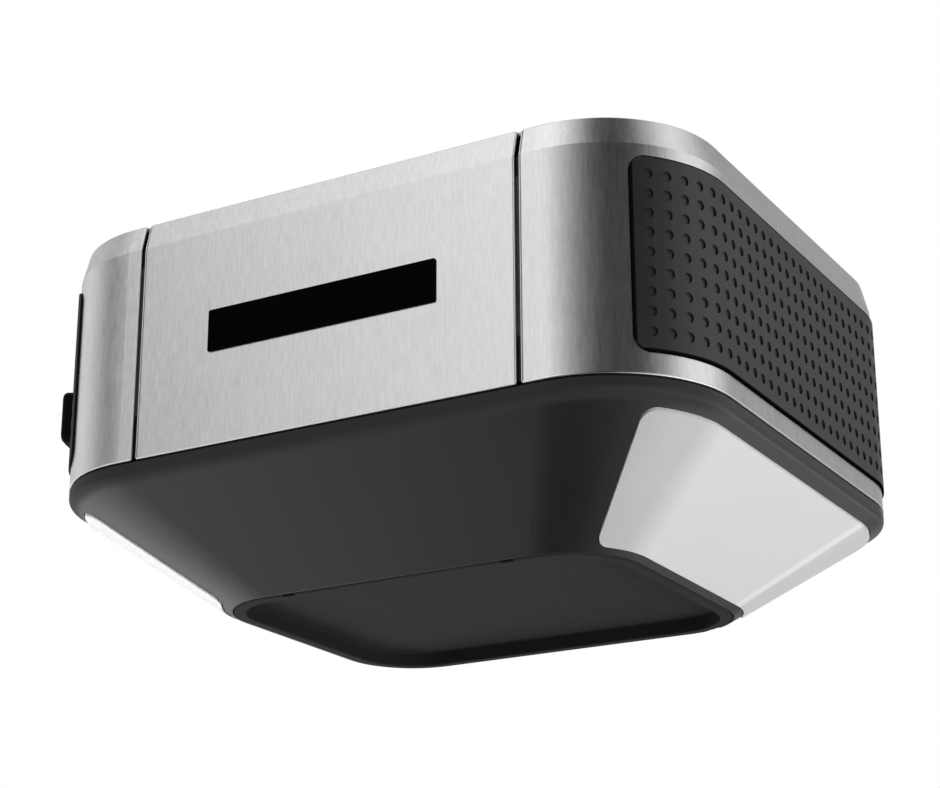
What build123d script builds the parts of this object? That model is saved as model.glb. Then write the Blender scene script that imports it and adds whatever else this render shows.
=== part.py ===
from build123d import *
import os
from math import acos, atan, cos, degrees, hypot, pi, radians, sin, tan

os.makedirs("parts", exist_ok=True)

# Garage door opener head, hung from the ceiling by its top plate.
# X runs along the long side, the room side faces -Y, the door rail leaves towards +Y.
# The origin is the middle of the hanger hole pattern, on the upper face of the top plate.
# All sizes are in millimetres.

# Silver shells
body_length = 370.0
body_width = 322.0
corner_radius = 66.0
cover_height = 128.6
bevel_inset = 3.5
bevel_drop = 14.5
cover_sheet = 1.5
cover_edge_round = 0.6
seam_inset = 75.6
seam_gap = 3.0
seam_round = 1.0
top_flange = 15.0
bottom_flange = 20.0

# Top plate and what fastens to it
plate = 2.0
plate_gap = 0.5
hanger_spacing_x = 240.0
hanger_spacing_y = 90.0
hanger_hole = 8.4
weld_nut_width = 15.0
weld_nut_height = 6.0
rail_spacing_x = 40.0
rail_spacing_y = 26.0
rail_hole = 6.6
rail_channel_width = 66.0
rail_channel_length = 46.0
rail_channel_height = 25.0
rail_sheet = 2.5
rail_edge_margin = 4.0

# Screws
screw_shank = 3.8
screw_clear = 0.2
screw_head = 8.0
screw_head_height = 2.4
screw_grip = 6.0
screw_slot = 1.0
screw_side_step = 14.0

# Posts behind the seams
post_corner_gap = 0.6
post_depth = 10.0
post_sheet = 3.0
pick_tolerance = 0.05

# Lower housing, gasket and bottom cover
gasket = 1.2
gasket_inset = 2.0
gasket_width = 7.0
shoulder = 5.7
shoulder_round = 4.0
taper_inset = 69.5
taper_drop = 53.0
rim_radius = 40.0
housing_wall = 2.5
boss_radius = 5.0
boss_inset = 15.0
housing_flange = 11.0
housing_flange_sheet = 1.5
lip_width = 1.2
rim_step = 0.8
rim_thickness = 4.0
cover_seam = 0.5
cover_edge = 1.9
tray_rim = 6.3
tray_depth = 8.0
tray_wall = 2.0
notch_spacing = 126.0
notch_width = 7.5
notch_depth = 2.0
catch_width = 10.0
catch_height = 7.0
hinge_spacing = 120.0
hinge_lug = 8.0
hinge_pin = 1.6
hinge_pin_length = 20.0
hinge_gap = 0.4
hinge_relief = 0.8

# Light covers and lamps
lens_top_inset = 7.0
lens_bottom_border = 4.8
lens_corner = 6.5
lens_gap = 0.5
lens_proud = 0.8
lens_wall = 2.5
lens_lap = 3.0
lens_lap_gap = 0.3
lamp_depth = 8.0
lamp_length = 100.0
lamp_width = 52.0
lamp_sheet = 2.0
led_board_length = 88.0
led_board_width = 34.0
board = 1.6
led_size = 3.5
led_height = 0.9
led_columns = 8
led_rows = 2

# Dimpled end panels
window_drop = 20.8
window_height = 96.5
window_angle = 51.0
window_corner = 8.0
window_gap = 0.6
panel_proud = 1.2
panel_lap = 6.0
panel_lap_gap = 0.3
panel_sheet = 1.5
dimple_pitch = 9.75
dimple_columns = 31
dimple_rows = 9
dimple_diameter = 5.0
dimple_depth = 1.0

# Control pod on the left end
pod_drop = 69.2
pod_height = 28.0
pod_angle = 30.0
pod_reach = 62.0
pod_proud = 8.0
pod_wall = 2.0
pod_corner = 4.5
pod_round = 2.5
pod_sink = 6.0
button_gap = 0.3
button_proud = 1.5
button_lip = 1.0
button_travel = 1.5
button_slack = 0.2
learn_diameter = 7.0
arrow_length = 10.0
arrow_height = 8.0
button_pitch = 13.0
learn_shift = 4.0
learn_pitch = 12.0
switch_size = 6.0
switch_height = 4.5
terminal_length = 24.0
terminal_height = 14.0
terminal_ways = 4
wire_hole = 2.4

# Blank plate on the front
badge_length = 131.4
badge_height = 22.2
badge_drop = 57.6
badge_thickness = 0.8
badge_corner = 1.0

# Worm drive
gear_module = 2.0
wheel_teeth = 30
pressure_angle = 20.0
tooth_slack = 0.35
root_clear = 0.6
wheel_face = 14.0
wheel_hub = 28.0
hub_above = 5.0
hub_below = 2.0
worm_pitch_radius = 10.0
worm_turns = 4
worm_shoulder = 6.0
output_y = 70.0
drive_drop = 52.0
output_shaft_diameter = 12.0
motor_shaft_diameter = 8.0
running_clear = 0.05
bush_wall = 3.0
sprocket_teeth = 14
belt_pitch = 8.0
belt_width = 12.0
sprocket_flange = 2.0
sprocket_rise = 6.0
clip_sheet = 1.2
clip_groove = 1.0
hood_height = 32.0
hood_wall = 2.0
hood_gap = 9.0
hood_corner = 14.0
hood_ear = 10.0
hood_ear_width = 14.0

# Gearbox
case_wall = 4.0
case_clear = 1.5
foot_radius = 8.0
foot_angle = 28.0
foot_height = 18.0
bolt_diameter = 5.0
bolt_clear = 0.2
bolt_head = 9.0
bolt_head_height = 3.5

# Motor
can_radius = 33.0
can_wall = 2.5
can_length = 90.0
magnet_thickness = 4.0
magnet_arc = 140.0
air_gap = 1.0
armature_length = 42.0
armature_slots = 12
slot_width = 4.0
slot_depth = 12.0
armature_setback = 16.0
winding_length = 7.0
commutator_radius = 9.0
commutator_length = 12.0
brush_gap = 0.3
brush_length = 9.0
brush_width = 6.0
end_cap_thickness = 6.0
disc_radius = 12.0
disc_length = 6.0

# Boards and power supply
logic_length = 110.0
logic_height = 84.0
logic_y = 40.0
logic_drop = 24.0
logic_standoff = 14.0
standoff_radius = 3.0
standoff_inset = 6.0
core_length = 60.0
core_stack = 26.0
core_height = 50.0
core_leg = 10.0
core_foot = 12.0
relay_length = 20.0
relay_height = 16.0
relay_width = 12.0
relay_pitch = 24.0
capacitor_radius = 7.0
capacitor_height = 22.0
capacitor_pitch = 17.0
capacitor_round = 1.4
component_columns = 3
winding_gap = 0.4
winding_bulge = 8.0
supply_x = -70.0
supply_y = -70.0
gland_inset_x = 85.0
gland_inset_y = 56.0
gland_bore = 9.0
gland_wall = 3.0
gland_flange = 4.0
gland_depth = 14.0

# Levels and places that follow from the sizes
half_length = body_length / 2
half_width = body_width / 2
corner_x = half_length - corner_radius
corner_y = half_width - corner_radius
seam_x = half_length - seam_inset
cover_bottom = -cover_height
flange_top = -plate
flange_bottom = -plate - cover_sheet
housing_top = cover_bottom - gasket
shoulder_z = housing_top - shoulder
rim_z = shoulder_z - taper_drop
taper_slope = atan(taper_drop / taper_inset)
wall_run = housing_wall / sin(taper_slope)
wall_rise = housing_wall / cos(taper_slope)
cover_top_z = rim_z + rim_thickness
housing_end_z = rim_z + rim_step
screw_inset = bevel_inset + cover_sheet + top_flange / 2
drive_z = -drive_drop
worm_pitch = pi * gear_module
wheel_radius = gear_module * wheel_teeth / 2
centre_distance = wheel_radius + worm_pitch_radius
worm_y = output_y - centre_distance
shaft_r = output_shaft_diameter / 2
motor_r = motor_shaft_diameter / 2


def plan(inset, radius=None, mode=Mode.ADD):
    # The outline seen from above, moved in by the inset.
    corner = corner_radius - inset if radius is None else radius
    RectangleRounded(body_length - 2 * inset, body_width - 2 * inset, corner, mode=mode)


def taper_inset_at(z):
    # How far the belly's outer face stands in at a height.
    return (shoulder_z - z) * taper_inset / taper_drop


def taper_radius(inset):
    # The belly's corner radius where it stands in by the inset.
    return corner_radius + (rim_radius - corner_radius) * inset / taper_inset


def wall_inset(z):
    # How far the silver shells stand in at a height.
    return max(0.0, bevel_inset * (z + bevel_drop) / bevel_drop)


def write(piece, name):
    piece.part.label = name
    export_step(piece.part, f"parts/{name}.step")


# Silver shells: one closed ring first, then cut into a front, a rear and two end caps
with BuildPart() as cover_ring:
    with BuildSketch(Plane.XY.offset(cover_bottom)):
        plan(0)
    extrude(amount=cover_height - bevel_drop)
    with BuildSketch(Plane.XY.offset(-bevel_drop)):
        plan(0)
    with BuildSketch():
        plan(bevel_inset)
    loft(ruled=True)
    lower_rim = cover_ring.faces().sort_by(Axis.Z)[0].outer_wire().edges()
    upper_rim = cover_ring.faces().sort_by(Axis.Z)[-1].outer_wire().edges()
    fillet(lower_rim + upper_rim, cover_edge_round)
    with BuildSketch(Plane.XY.offset(cover_bottom + cover_sheet)):
        plan(cover_sheet)
    extrude(amount=cover_height - bevel_drop - cover_sheet, mode=Mode.SUBTRACT)
    with BuildSketch(Plane.XY.offset(-bevel_drop)):
        plan(cover_sheet)
    with BuildSketch(Plane.XY.offset(flange_bottom)):
        plan(cover_sheet + wall_inset(flange_bottom))
    loft(ruled=True, mode=Mode.SUBTRACT)
    with BuildSketch(Plane.XY.offset(flange_top)):
        plan(bevel_inset + cover_sheet)
    extrude(amount=plate, mode=Mode.SUBTRACT)
    with BuildSketch(Plane.XY.offset(flange_bottom)):
        plan(bevel_inset + cover_sheet + top_flange)
    extrude(amount=cover_sheet, mode=Mode.SUBTRACT)
    with BuildSketch(Plane.XY.offset(cover_bottom)):
        plan(cover_sheet + bottom_flange)
    extrude(amount=cover_sheet, mode=Mode.SUBTRACT)


def on_outer_face(edge):
    middle = edge @ 0.5
    return half_width - wall_inset(middle.Z) - abs(middle.Y) < pick_tolerance


def seam_edges(piece, x):
    # The upright outer edges of a shell along a seam.
    along_seam = piece.edges().filter_by(lambda edge: abs(abs((edge @ 0.5).X) - x) < pick_tolerance)
    return along_seam.filter_by(on_outer_face)


def screw_places(side_x):
    # Screws either side of each seam, on the flanges.
    return [(sx * side_x, sy * (half_width - screw_inset)) for sx in (-1, 1) for sy in (-1, 1)]


centre_screw_x = seam_x - screw_side_step
cap_screw_x = seam_x + screw_side_step
chassis_screw_places = screw_places(centre_screw_x) + screw_places(cap_screw_x)
post_places = [(sx * seam_x, sy * half_width) for sx in (-1, 1) for sy in (-1, 1)]
boss_places = [(sx * (seam_x + sd * screw_side_step), sy * (half_width - boss_inset))
               for sx in (-1, 1) for sy in (-1, 1) for sd in (-1, 1)]

with BuildPart() as cover_holes:
    with Locations(*[(x, y, flange_bottom) for x, y in chassis_screw_places]):
        Cylinder(screw_shank / 2 + screw_clear, 4 * cover_sheet)
    with Locations(*[(x, y, cover_bottom) for x, y in boss_places]):
        Cylinder(screw_shank / 2 + screw_clear, 4 * cover_sheet)

panel_half = seam_x - seam_gap / 2
cap_start = seam_x + seam_gap / 2

with BuildPart() as front_cover:
    add(cover_ring.part)
    with Locations((0, -half_width, cover_bottom / 2)):
        Box(2 * panel_half, body_width, 2 * cover_height, mode=Mode.INTERSECT)
    fillet(seam_edges(front_cover, panel_half), seam_round)
    add(cover_holes.part, mode=Mode.SUBTRACT)
write(front_cover, "front_cover")

with BuildPart() as rear_cover:
    mirror(front_cover.part, about=Plane.XZ)
write(rear_cover, "rear_cover")


def end_wedge(angle, bottom, top, corner):
    # Upright wedge over the right end, from one rounded corner to the other, its two ends rounded off.
    far_x = corner_x + body_length * cos(radians(angle))
    far_y = corner_y + body_length * sin(radians(angle))
    with BuildPart() as wedge:
        with BuildSketch(Plane.XY.offset(bottom)):
            with BuildLine():
                Polyline((corner_x, -corner_y), (far_x, -far_y), (far_x, far_y), (corner_x, corner_y),
                         close=True)
            make_face()
        extrude(amount=top - bottom)
        slanted = wedge.edges().filter_by(Axis.Z, reverse=True).filter_by(Axis.Y, reverse=True)
        fillet(slanted, corner)
    return wedge.part


window_top = -window_drop
window_bottom = window_top - window_height


def window_wedge(grow):
    # The end window, grown all round by a distance.
    spread = degrees(grow / corner_radius)
    return end_wedge(window_angle + spread, window_bottom - grow, window_top + grow, window_corner + grow)


window_cut = window_wedge(window_gap)
window_face = window_wedge(0)
window_lap = window_wedge(panel_lap)

with BuildPart() as right_end_cap:
    add(cover_ring.part)
    with Locations((cap_start + half_length, 0, cover_bottom / 2)):
        Box(body_length, 2 * body_width, 2 * cover_height, mode=Mode.INTERSECT)
    fillet(seam_edges(right_end_cap, cap_start), seam_round)
    add(window_cut, mode=Mode.SUBTRACT)
    add(cover_holes.part, mode=Mode.SUBTRACT)
write(right_end_cap, "right_end_cap")


# Dimpled panels: a face that fills the window and a wider sheet that laps behind the shell
lap_inset = cover_sheet + panel_lap_gap
panel_back = lap_inset + panel_sheet

with BuildPart() as panel_front:
    with BuildSketch(Plane.XY.offset(window_bottom)):
        plan(-panel_proud)
        plan(lap_inset, mode=Mode.SUBTRACT)
    extrude(amount=window_height)
    add(window_face, mode=Mode.INTERSECT)

with BuildPart() as panel_rear:
    with BuildSketch(Plane.XY.offset(window_bottom - panel_lap)):
        plan(lap_inset)
        plan(panel_back, mode=Mode.SUBTRACT)
    extrude(amount=window_height + 2 * panel_lap)
    add(window_lap, mode=Mode.INTERSECT)
    # The lap stops below the bevel, where the shell leans in.
    with Locations((half_length, 0, -bevel_drop)):
        Box(body_length, body_width, body_width, align=(Align.CENTER, Align.CENTER, Align.MIN),
            mode=Mode.SUBTRACT)


def dimple_plane(along, z):
    # A plane on the panel's face, at a distance along it from the middle of the end.
    face_radius = corner_radius + panel_proud
    turn = max(0.0, abs(along) - corner_y) / face_radius
    side = 1 if along > 0 else -1
    flat_y = side * min(abs(along), corner_y)
    outward = (cos(turn), side * sin(turn), 0)
    point = (corner_x + face_radius * cos(turn), flat_y + side * face_radius * sin(turn), z)
    return Plane(origin=point, x_dir=(0, 0, 1), z_dir=outward)


dimple_steps = [column - (dimple_columns - 1) / 2 for column in range(dimple_columns)]
dimple_levels = [row - (dimple_rows - 1) / 2 for row in range(dimple_rows)]
window_middle = window_bottom + window_height / 2
dimple_places = [dimple_plane(step * dimple_pitch, window_middle + level * dimple_pitch)
                 for step in dimple_steps for level in dimple_levels]

with BuildPart() as right_grille:
    add(panel_front.part)
    add(panel_rear.part)
    with Locations(*dimple_places):
        Cylinder(dimple_diameter / 2, 2 * dimple_depth, mode=Mode.SUBTRACT)
write(right_grille, "right_grille")


# Control pod: a hollow black housing on the left end, with buttons and wire terminals
pod_top = -pod_drop
pod_bottom = pod_top - pod_height
pod_middle = pod_top - pod_height / 2
pod_rear_y = -corner_y + pod_reach


def pod_wedge(grow):
    # The pod's upright outline on the left end, grown all round by a distance.
    far = body_length
    start = radians(pod_angle) + grow / corner_radius
    far_x = -corner_x - far * cos(start)
    far_y = -corner_y - far * sin(start)
    with BuildPart() as wedge:
        with BuildSketch(Plane.XY.offset(pod_bottom - grow)):
            with BuildLine():
                Polyline((-corner_x, -corner_y), (far_x, far_y), (far_x, pod_rear_y + grow),
                         (-corner_x, pod_rear_y + grow), close=True)
            make_face()
        extrude(amount=pod_height + 2 * grow)
        level = wedge.edges().filter_by(Axis.Z, reverse=True).filter_by(Axis.Y, reverse=True)
        fillet(level, pod_corner + grow)
    return wedge.part


pod_outline = pod_wedge(0)
pod_inside = pod_wedge(-pod_wall)
pod_opening = pod_wedge(window_gap)

with BuildPart() as left_end_cap:
    mirror(right_end_cap.part, about=Plane.YZ)
    add(pod_opening, mode=Mode.SUBTRACT)
write(left_end_cap, "left_end_cap")

with BuildPart() as left_panel:
    mirror(right_grille.part, about=Plane.YZ)
    add(pod_opening, mode=Mode.SUBTRACT)
write(left_panel, "left_panel")

with BuildPart() as pod_hollow:
    with BuildSketch(Plane.XY.offset(pod_bottom)):
        plan(pod_wall - pod_proud)
        plan(pod_sink + pod_wall, mode=Mode.SUBTRACT)
    extrude(amount=pod_height)
    add(pod_inside, mode=Mode.INTERSECT)


def on_pod_face(edge):
    # Round the border of the pod's outer face, but not the line where its curve meets its flat.
    middle = edge @ 0.5
    reach = hypot(middle.X + corner_x, min(0.0, middle.Y + corner_y))
    on_face = abs(reach - corner_radius - pod_proud) < pick_tolerance
    return on_face and abs(middle.Y + corner_y) > pick_tolerance


pod_face_x = -half_length - pod_proud
learn_y = -corner_y + learn_shift
arrow_y = [learn_y + learn_pitch, learn_y + learn_pitch + button_pitch]
terminal_y = pod_rear_y - pod_wall - terminal_length / 2 - window_gap
pod_back_x = -half_length + pod_sink

with BuildPart() as control_pod:
    with BuildSketch(Plane.XY.offset(pod_bottom)):
        plan(-pod_proud)
        plan(pod_sink, mode=Mode.SUBTRACT)
    extrude(amount=pod_height)
    add(pod_outline, mode=Mode.INTERSECT)
    fillet(control_pod.edges().filter_by(on_pod_face), pod_round)
    add(pod_hollow.part, mode=Mode.SUBTRACT)
    with BuildSketch(Plane.YZ.offset(pod_face_x)):
        with Locations((learn_y, pod_middle)):
            Circle(learn_diameter / 2 + button_gap)
        with Locations(*[(y, pod_middle) for y in arrow_y]):
            Rectangle(arrow_length + 2 * button_gap, arrow_height + 2 * button_gap)
        with Locations((terminal_y, pod_middle)):
            Rectangle(terminal_length + 2 * button_gap, terminal_height + 2 * button_gap)
    extrude(amount=2 * pod_wall, both=True, mode=Mode.SUBTRACT)
write(control_pod, "control_pod")

lip_start_x = pod_face_x + pod_wall + button_slack
switch_top_x = pod_back_x - switch_height
stem_end_x = switch_top_x - button_travel - button_slack


def push_button(name, y, outline):
    # A cap through the pod's face, a retaining lip behind it and a stem towards its switch.
    with BuildPart() as button:
        with BuildSketch(Plane.YZ.offset(pod_face_x - button_proud)):
            with Locations((y, pod_middle)):
                outline(0)
        extrude(amount=stem_end_x - pod_face_x + button_proud)
        fillet(button.faces().sort_by(Axis.X)[0].edges(), button_lip / 2)
        with BuildSketch(Plane.YZ.offset(lip_start_x)):
            with Locations((y, pod_middle)):
                outline(button_lip)
        extrude(amount=button_lip)
    write(button, name)


def round_cap(grow):
    Circle(learn_diameter / 2 + grow)


def arrow_cap(grow):
    RectangleRounded(arrow_length + 2 * grow, arrow_height + 2 * grow, button_lip)


push_button("learn_button", learn_y, round_cap)
push_button("down_button", arrow_y[0], arrow_cap)
push_button("up_button", arrow_y[1], arrow_cap)

control_start_y = -corner_y
control_end_y = pod_rear_y - pod_wall / 2
with BuildPart() as control_board:
    with Locations((pod_back_x + board / 2, (control_start_y + control_end_y) / 2, pod_middle)):
        Box(board, control_end_y - control_start_y, pod_height - pod_wall)
write(control_board, "control_board")

with BuildPart() as tact_switches:
    with Locations(*[(pod_back_x - switch_height / 2, y, pod_middle) for y in [learn_y] + arrow_y]):
        Box(switch_height - button_lip, switch_size, switch_size)
        Cylinder(switch_size / 4, switch_height, rotation=(0, 90, 0))
    with Locations(*[(pod_back_x - button_lip / 4, y, pod_middle) for y in [learn_y] + arrow_y]):
        Box(button_lip / 2, switch_size, switch_size)
write(tact_switches, "tact_switches")

terminal_depth = pod_back_x - pod_face_x + button_proud
way_pitch = terminal_length / terminal_ways
way_steps = [way_pitch * (way - (terminal_ways - 1) / 2) for way in range(terminal_ways)]
with BuildPart() as terminal_block:
    with Locations((pod_back_x - terminal_depth / 2, terminal_y, pod_middle)):
        Box(terminal_depth, terminal_length, terminal_height)
    with BuildSketch(Plane.YZ.offset(pod_back_x - terminal_depth)):
        with Locations(*[(terminal_y + step, pod_middle - terminal_height / 5) for step in way_steps]):
            Circle(wire_hole / 2)
        with Locations(*[(terminal_y + step, pod_middle + terminal_height / 4) for step in way_steps]):
            Rectangle(wire_hole, wire_hole)
    extrude(amount=terminal_depth / 2, mode=Mode.SUBTRACT)
write(terminal_block, "terminal_block")

# Blank plate on the front cover
with BuildPart() as blank_plate:
    with BuildSketch(Plane.XZ.offset(half_width)):
        with Locations((0, -badge_drop - badge_height / 2)):
            RectangleRounded(badge_length, badge_height, badge_corner)
    extrude(amount=badge_thickness)
write(blank_plate, "blank_plate")

# Upright posts behind the seams, which carry the shells and the belly
post_width = 2 * (corner_x - seam_x - post_corner_gap)
post_top_inset = cover_sheet + bevel_inset
with BuildPart() as seam_posts:
    for x, y in post_places:
        inward = -1 if y > 0 else 1
        with Locations((x, y + inward * (cover_sheet + post_depth / 2), -bevel_drop)):
            Box(post_width, post_depth, cover_height - cover_sheet - bevel_drop,
                align=(Align.CENTER, Align.CENTER, Align.MAX))
        with Locations((x, y + inward * (post_top_inset + post_depth / 2), flange_bottom)):
            Box(post_width, post_depth, bevel_drop, align=(Align.CENTER, Align.CENTER, Align.MAX))
        with Locations((x, y + inward * (post_top_inset + post_depth), (cover_bottom - bevel_drop) / 2)):
            Box(post_width - 2 * post_sheet, 2 * post_depth - 2 * post_sheet,
                cover_height - bevel_drop - 2 * post_depth, mode=Mode.SUBTRACT)
write(seam_posts, "seam_posts")

# Black belly: a gasket under the shells, the tapered housing, two light covers and the bottom cover
with BuildPart() as seam_gasket:
    with BuildSketch(Plane.XY.offset(housing_top)):
        plan(gasket_inset)
        plan(gasket_inset + gasket_width, mode=Mode.SUBTRACT)
    extrude(amount=gasket)
write(seam_gasket, "seam_gasket")


def belly(lift):
    # The belly's full form, moved up by a distance.
    with BuildPart() as form:
        with BuildSketch(Plane.XY.offset(rim_z + lift)):
            plan(taper_inset, rim_radius)
        with BuildSketch(Plane.XY.offset(shoulder_z + lift)):
            plan(0)
        loft(ruled=True)
        with BuildSketch(Plane.XY.offset(shoulder_z + lift)):
            plan(0)
        extrude(amount=shoulder)
    return form.part


lens_bottom_inset = taper_inset - lens_bottom_border
mitre_x = corner_x - corner_y


def lens_prism(grow):
    # Upright prism over the right light cover, mitred at the middle of each corner.
    upper = lens_top_inset - grow
    lower = lens_bottom_inset + grow
    apex = mitre_x - grow / sin(pi / 4)
    with BuildPart() as prism:
        with BuildSketch(Plane.XY.offset(rim_z - taper_drop)) as region:
            plan(upper, taper_radius(upper))
            plan(lower, taper_radius(lower), mode=Mode.SUBTRACT)
            with BuildLine():
                Polyline((apex, 0), (apex + body_length, -body_length), (apex + body_length, body_length),
                         close=True)
            make_face(mode=Mode.INTERSECT)
            mitre_ends = region.vertices().filter_by(lambda v: abs(v.X - apex - abs(v.Y)) < pick_tolerance)
            fillet(mitre_ends, lens_corner + grow)
        extrude(amount=3 * taper_drop)
    return prism.part


rise = 1 / cos(taper_slope)
lens_back_rise = (housing_wall + lens_lap_gap + lens_wall) * rise
lens_outline = lens_prism(0)
lens_inside = lens_prism(-lens_wall)
lens_cut = lens_prism(lens_gap)
lens_lap_outline = lens_prism(lens_lap)
behind_lens = belly(lens_back_rise)

with BuildPart() as lens_body:
    add(belly(-lens_proud * rise))
    add(behind_lens, mode=Mode.SUBTRACT)
    add(lens_outline, mode=Mode.INTERSECT)

with BuildPart() as lens_rim:
    add(belly((housing_wall + lens_lap_gap) * rise))
    add(behind_lens, mode=Mode.SUBTRACT)
    add(lens_lap_outline, mode=Mode.INTERSECT)

with BuildPart() as lens_hollow:
    add(belly((lens_wall - lens_proud) * rise))
    add(lens_inside, mode=Mode.INTERSECT)

with BuildPart() as right_lens:
    add(lens_body.part)
    add(lens_rim.part)
    add(lens_hollow.part, mode=Mode.SUBTRACT)
write(right_lens, "right_lens")

with BuildPart() as left_lens:
    mirror(right_lens.part, about=Plane.YZ)
write(left_lens, "left_lens")

# The bottom cover's outline, and the hinge along its rear edge
lip_inset = taper_inset_at(housing_end_z) + lip_width
cover_inset = lip_inset + cover_seam
cover_corner = rim_radius - lip_width - cover_seam
tray_inset = cover_inset + tray_rim
tray_corner = cover_corner - tray_rim
hinge_y = half_width - cover_inset - rim_thickness / 2
hinge_z = rim_z + rim_thickness / 2
hinge_places = [(-hinge_spacing / 2, hinge_y, hinge_z), (hinge_spacing / 2, hinge_y, hinge_z)]
inner_shoulder_z = shoulder_z + (wall_run - housing_wall) * taper_drop / taper_inset

with BuildPart() as housing_bosses:
    with Locations(*[(x, y, housing_top) for x, y in boss_places]):
        Cylinder(boss_radius, taper_drop, align=(Align.CENTER, Align.CENTER, Align.MAX))
    add(belly(wall_rise / 2), mode=Mode.INTERSECT)
    with Locations(*[(x, y, housing_top - gasket) for x, y in boss_places]):
        Cylinder(boss_radius, 2 * gasket, align=(Align.CENTER, Align.CENTER, Align.MIN))

with BuildPart() as hinge_lugs:
    lug_depth = half_width - hinge_y
    with Locations(*[(x, y, z) for x, y, z in hinge_places]):
        Box(hinge_lug, lug_depth, 2 * rim_thickness, align=(Align.CENTER, Align.MIN, Align.MIN))
    add(belly(wall_rise / 4), mode=Mode.INTERSECT)
    with Locations(*hinge_places):
        Cylinder(rim_thickness / 2, hinge_lug, rotation=(0, 90, 0))

with BuildPart() as lower_housing:
    add(belly(0))
    shoulder_edges = lower_housing.edges().filter_by_position(
        Axis.Z, shoulder_z - pick_tolerance, shoulder_z + pick_tolerance)
    fillet(shoulder_edges, shoulder_round)
    with BuildSketch(Plane.XY.offset(rim_z)):
        plan(taper_inset + wall_run, rim_radius - wall_run)
    with BuildSketch(Plane.XY.offset(inner_shoulder_z)):
        plan(housing_wall)
    loft(ruled=True, mode=Mode.SUBTRACT)
    with BuildSketch(Plane.XY.offset(inner_shoulder_z)):
        plan(housing_wall)
    extrude(amount=housing_top - housing_flange_sheet - inner_shoulder_z, mode=Mode.SUBTRACT)
    with BuildSketch(Plane.XY.offset(housing_top - housing_flange_sheet)):
        plan(housing_flange)
    extrude(amount=housing_flange_sheet, mode=Mode.SUBTRACT)
    with BuildSketch(Plane.XY.offset(housing_end_z)):
        plan(0)
    extrude(amount=-rim_thickness, mode=Mode.SUBTRACT)
    with BuildSketch(Plane.XY.offset(rim_z)):
        plan(lip_inset, rim_radius - lip_width)
    extrude(amount=rim_thickness + cover_seam, mode=Mode.SUBTRACT)
    # Room for the cover's rear corners as it swings down.
    with Locations((0, hinge_y, hinge_z)):
        relief_length = body_length - 2 * cover_inset - cover_corner
        Cylinder(rim_thickness / 2 + hinge_relief, relief_length, rotation=(0, 90, 0), mode=Mode.SUBTRACT)
    add(housing_bosses.part)
    add(lens_cut, mode=Mode.SUBTRACT)
    mirror(lens_cut, about=Plane.YZ, mode=Mode.SUBTRACT)
    add(hinge_lugs.part)
    with Locations(*hinge_places):
        Cylinder(hinge_pin / 2 + running_clear, 2 * hinge_lug, rotation=(0, 90, 0), mode=Mode.SUBTRACT)
    with Locations(*[(x, y, cover_bottom) for x, y in boss_places]):
        Cylinder(screw_shank / 2, 2 * screw_grip, mode=Mode.SUBTRACT)
write(lower_housing, "lower_housing")

front_edge_y = -half_width + cover_inset
with BuildPart() as bottom_cover:
    with BuildSketch(Plane.XY.offset(rim_z)):
        plan(cover_inset, cover_corner)
    extrude(amount=rim_thickness)
    fillet(bottom_cover.edges().filter_by(Axis.Z, reverse=True), cover_edge)
    with BuildSketch(Plane.XY.offset(cover_top_z)):
        plan(tray_inset - tray_wall, tray_corner + tray_wall)
    extrude(amount=tray_depth + tray_wall - rim_thickness)
    with BuildSketch(Plane.XY.offset(rim_z)):
        plan(tray_inset, tray_corner)
    extrude(amount=tray_depth, mode=Mode.SUBTRACT)
    with GridLocations(notch_spacing, 0, 2, 1):
        with Locations((0, front_edge_y, rim_z)):
            Box(notch_width, 2 * notch_depth, 2 * rim_thickness, mode=Mode.SUBTRACT)
        with Locations((0, front_edge_y + tray_rim / 2, cover_top_z)):
            Box(catch_width, tray_wall, catch_height, align=(Align.CENTER, Align.CENTER, Align.MIN))
    with Locations(*hinge_places):
        Box(hinge_lug + 2 * hinge_gap, rim_thickness + 2 * hinge_gap, 2 * rim_thickness, mode=Mode.SUBTRACT)
        Cylinder(hinge_pin / 2, hinge_pin_length, rotation=(0, 90, 0), mode=Mode.SUBTRACT)
write(bottom_cover, "bottom_cover")

with BuildPart() as cover_hinge_pins:
    with Locations(*hinge_places):
        Cylinder(hinge_pin / 2, hinge_pin_length, rotation=(0, 90, 0))
write(cover_hinge_pins, "cover_hinge_pins")

# Lamps behind the light covers: a bent tray on the cover's lap, a board and rows of light chips
lens_middle_inset = (lens_top_inset + lens_bottom_inset) / 2
lens_middle_z = shoulder_z - lens_middle_inset * taper_drop / taper_inset
lens_half_slope = (lens_bottom_inset - lens_top_inset) / 2 * rise
lap_level = housing_wall + lens_lap_gap + lens_wall
lamp_plane = Plane(origin=(half_length - lens_middle_inset, 0, lens_middle_z), x_dir=(0, 1, 0),
                   z_dir=(-sin(taper_slope), 0, cos(taper_slope)))
lamp_section = Plane(origin=lamp_plane.origin, x_dir=lamp_plane.y_dir, z_dir=lamp_plane.x_dir)
board_level = lap_level + lamp_depth


def lamp_outline(side):
    # Half of the tray's bent section: foot on the lap, wall and raised back.
    foot = side * (lens_half_slope + lens_wall / 2)
    wall = side * lamp_width / 2
    foot_level = lap_level + lamp_sheet
    outer = [(foot, lap_level), (foot, foot_level), (wall, foot_level), (wall, board_level + lamp_sheet)]
    inner_wall = wall - side * lamp_sheet
    return outer, [(inner_wall, board_level), (inner_wall, lap_level)]


upper_half, upper_inner = lamp_outline(-1)
lower_half, lower_inner = lamp_outline(1)
with BuildPart() as right_led_bracket:
    with BuildSketch(lamp_section):
        with BuildLine():
            Polyline(*upper_half, *reversed(lower_half), *reversed(lower_inner), *upper_inner, close=True)
        make_face()
    extrude(amount=lamp_length / 2, both=True)
write(right_led_bracket, "right_led_bracket")

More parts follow.
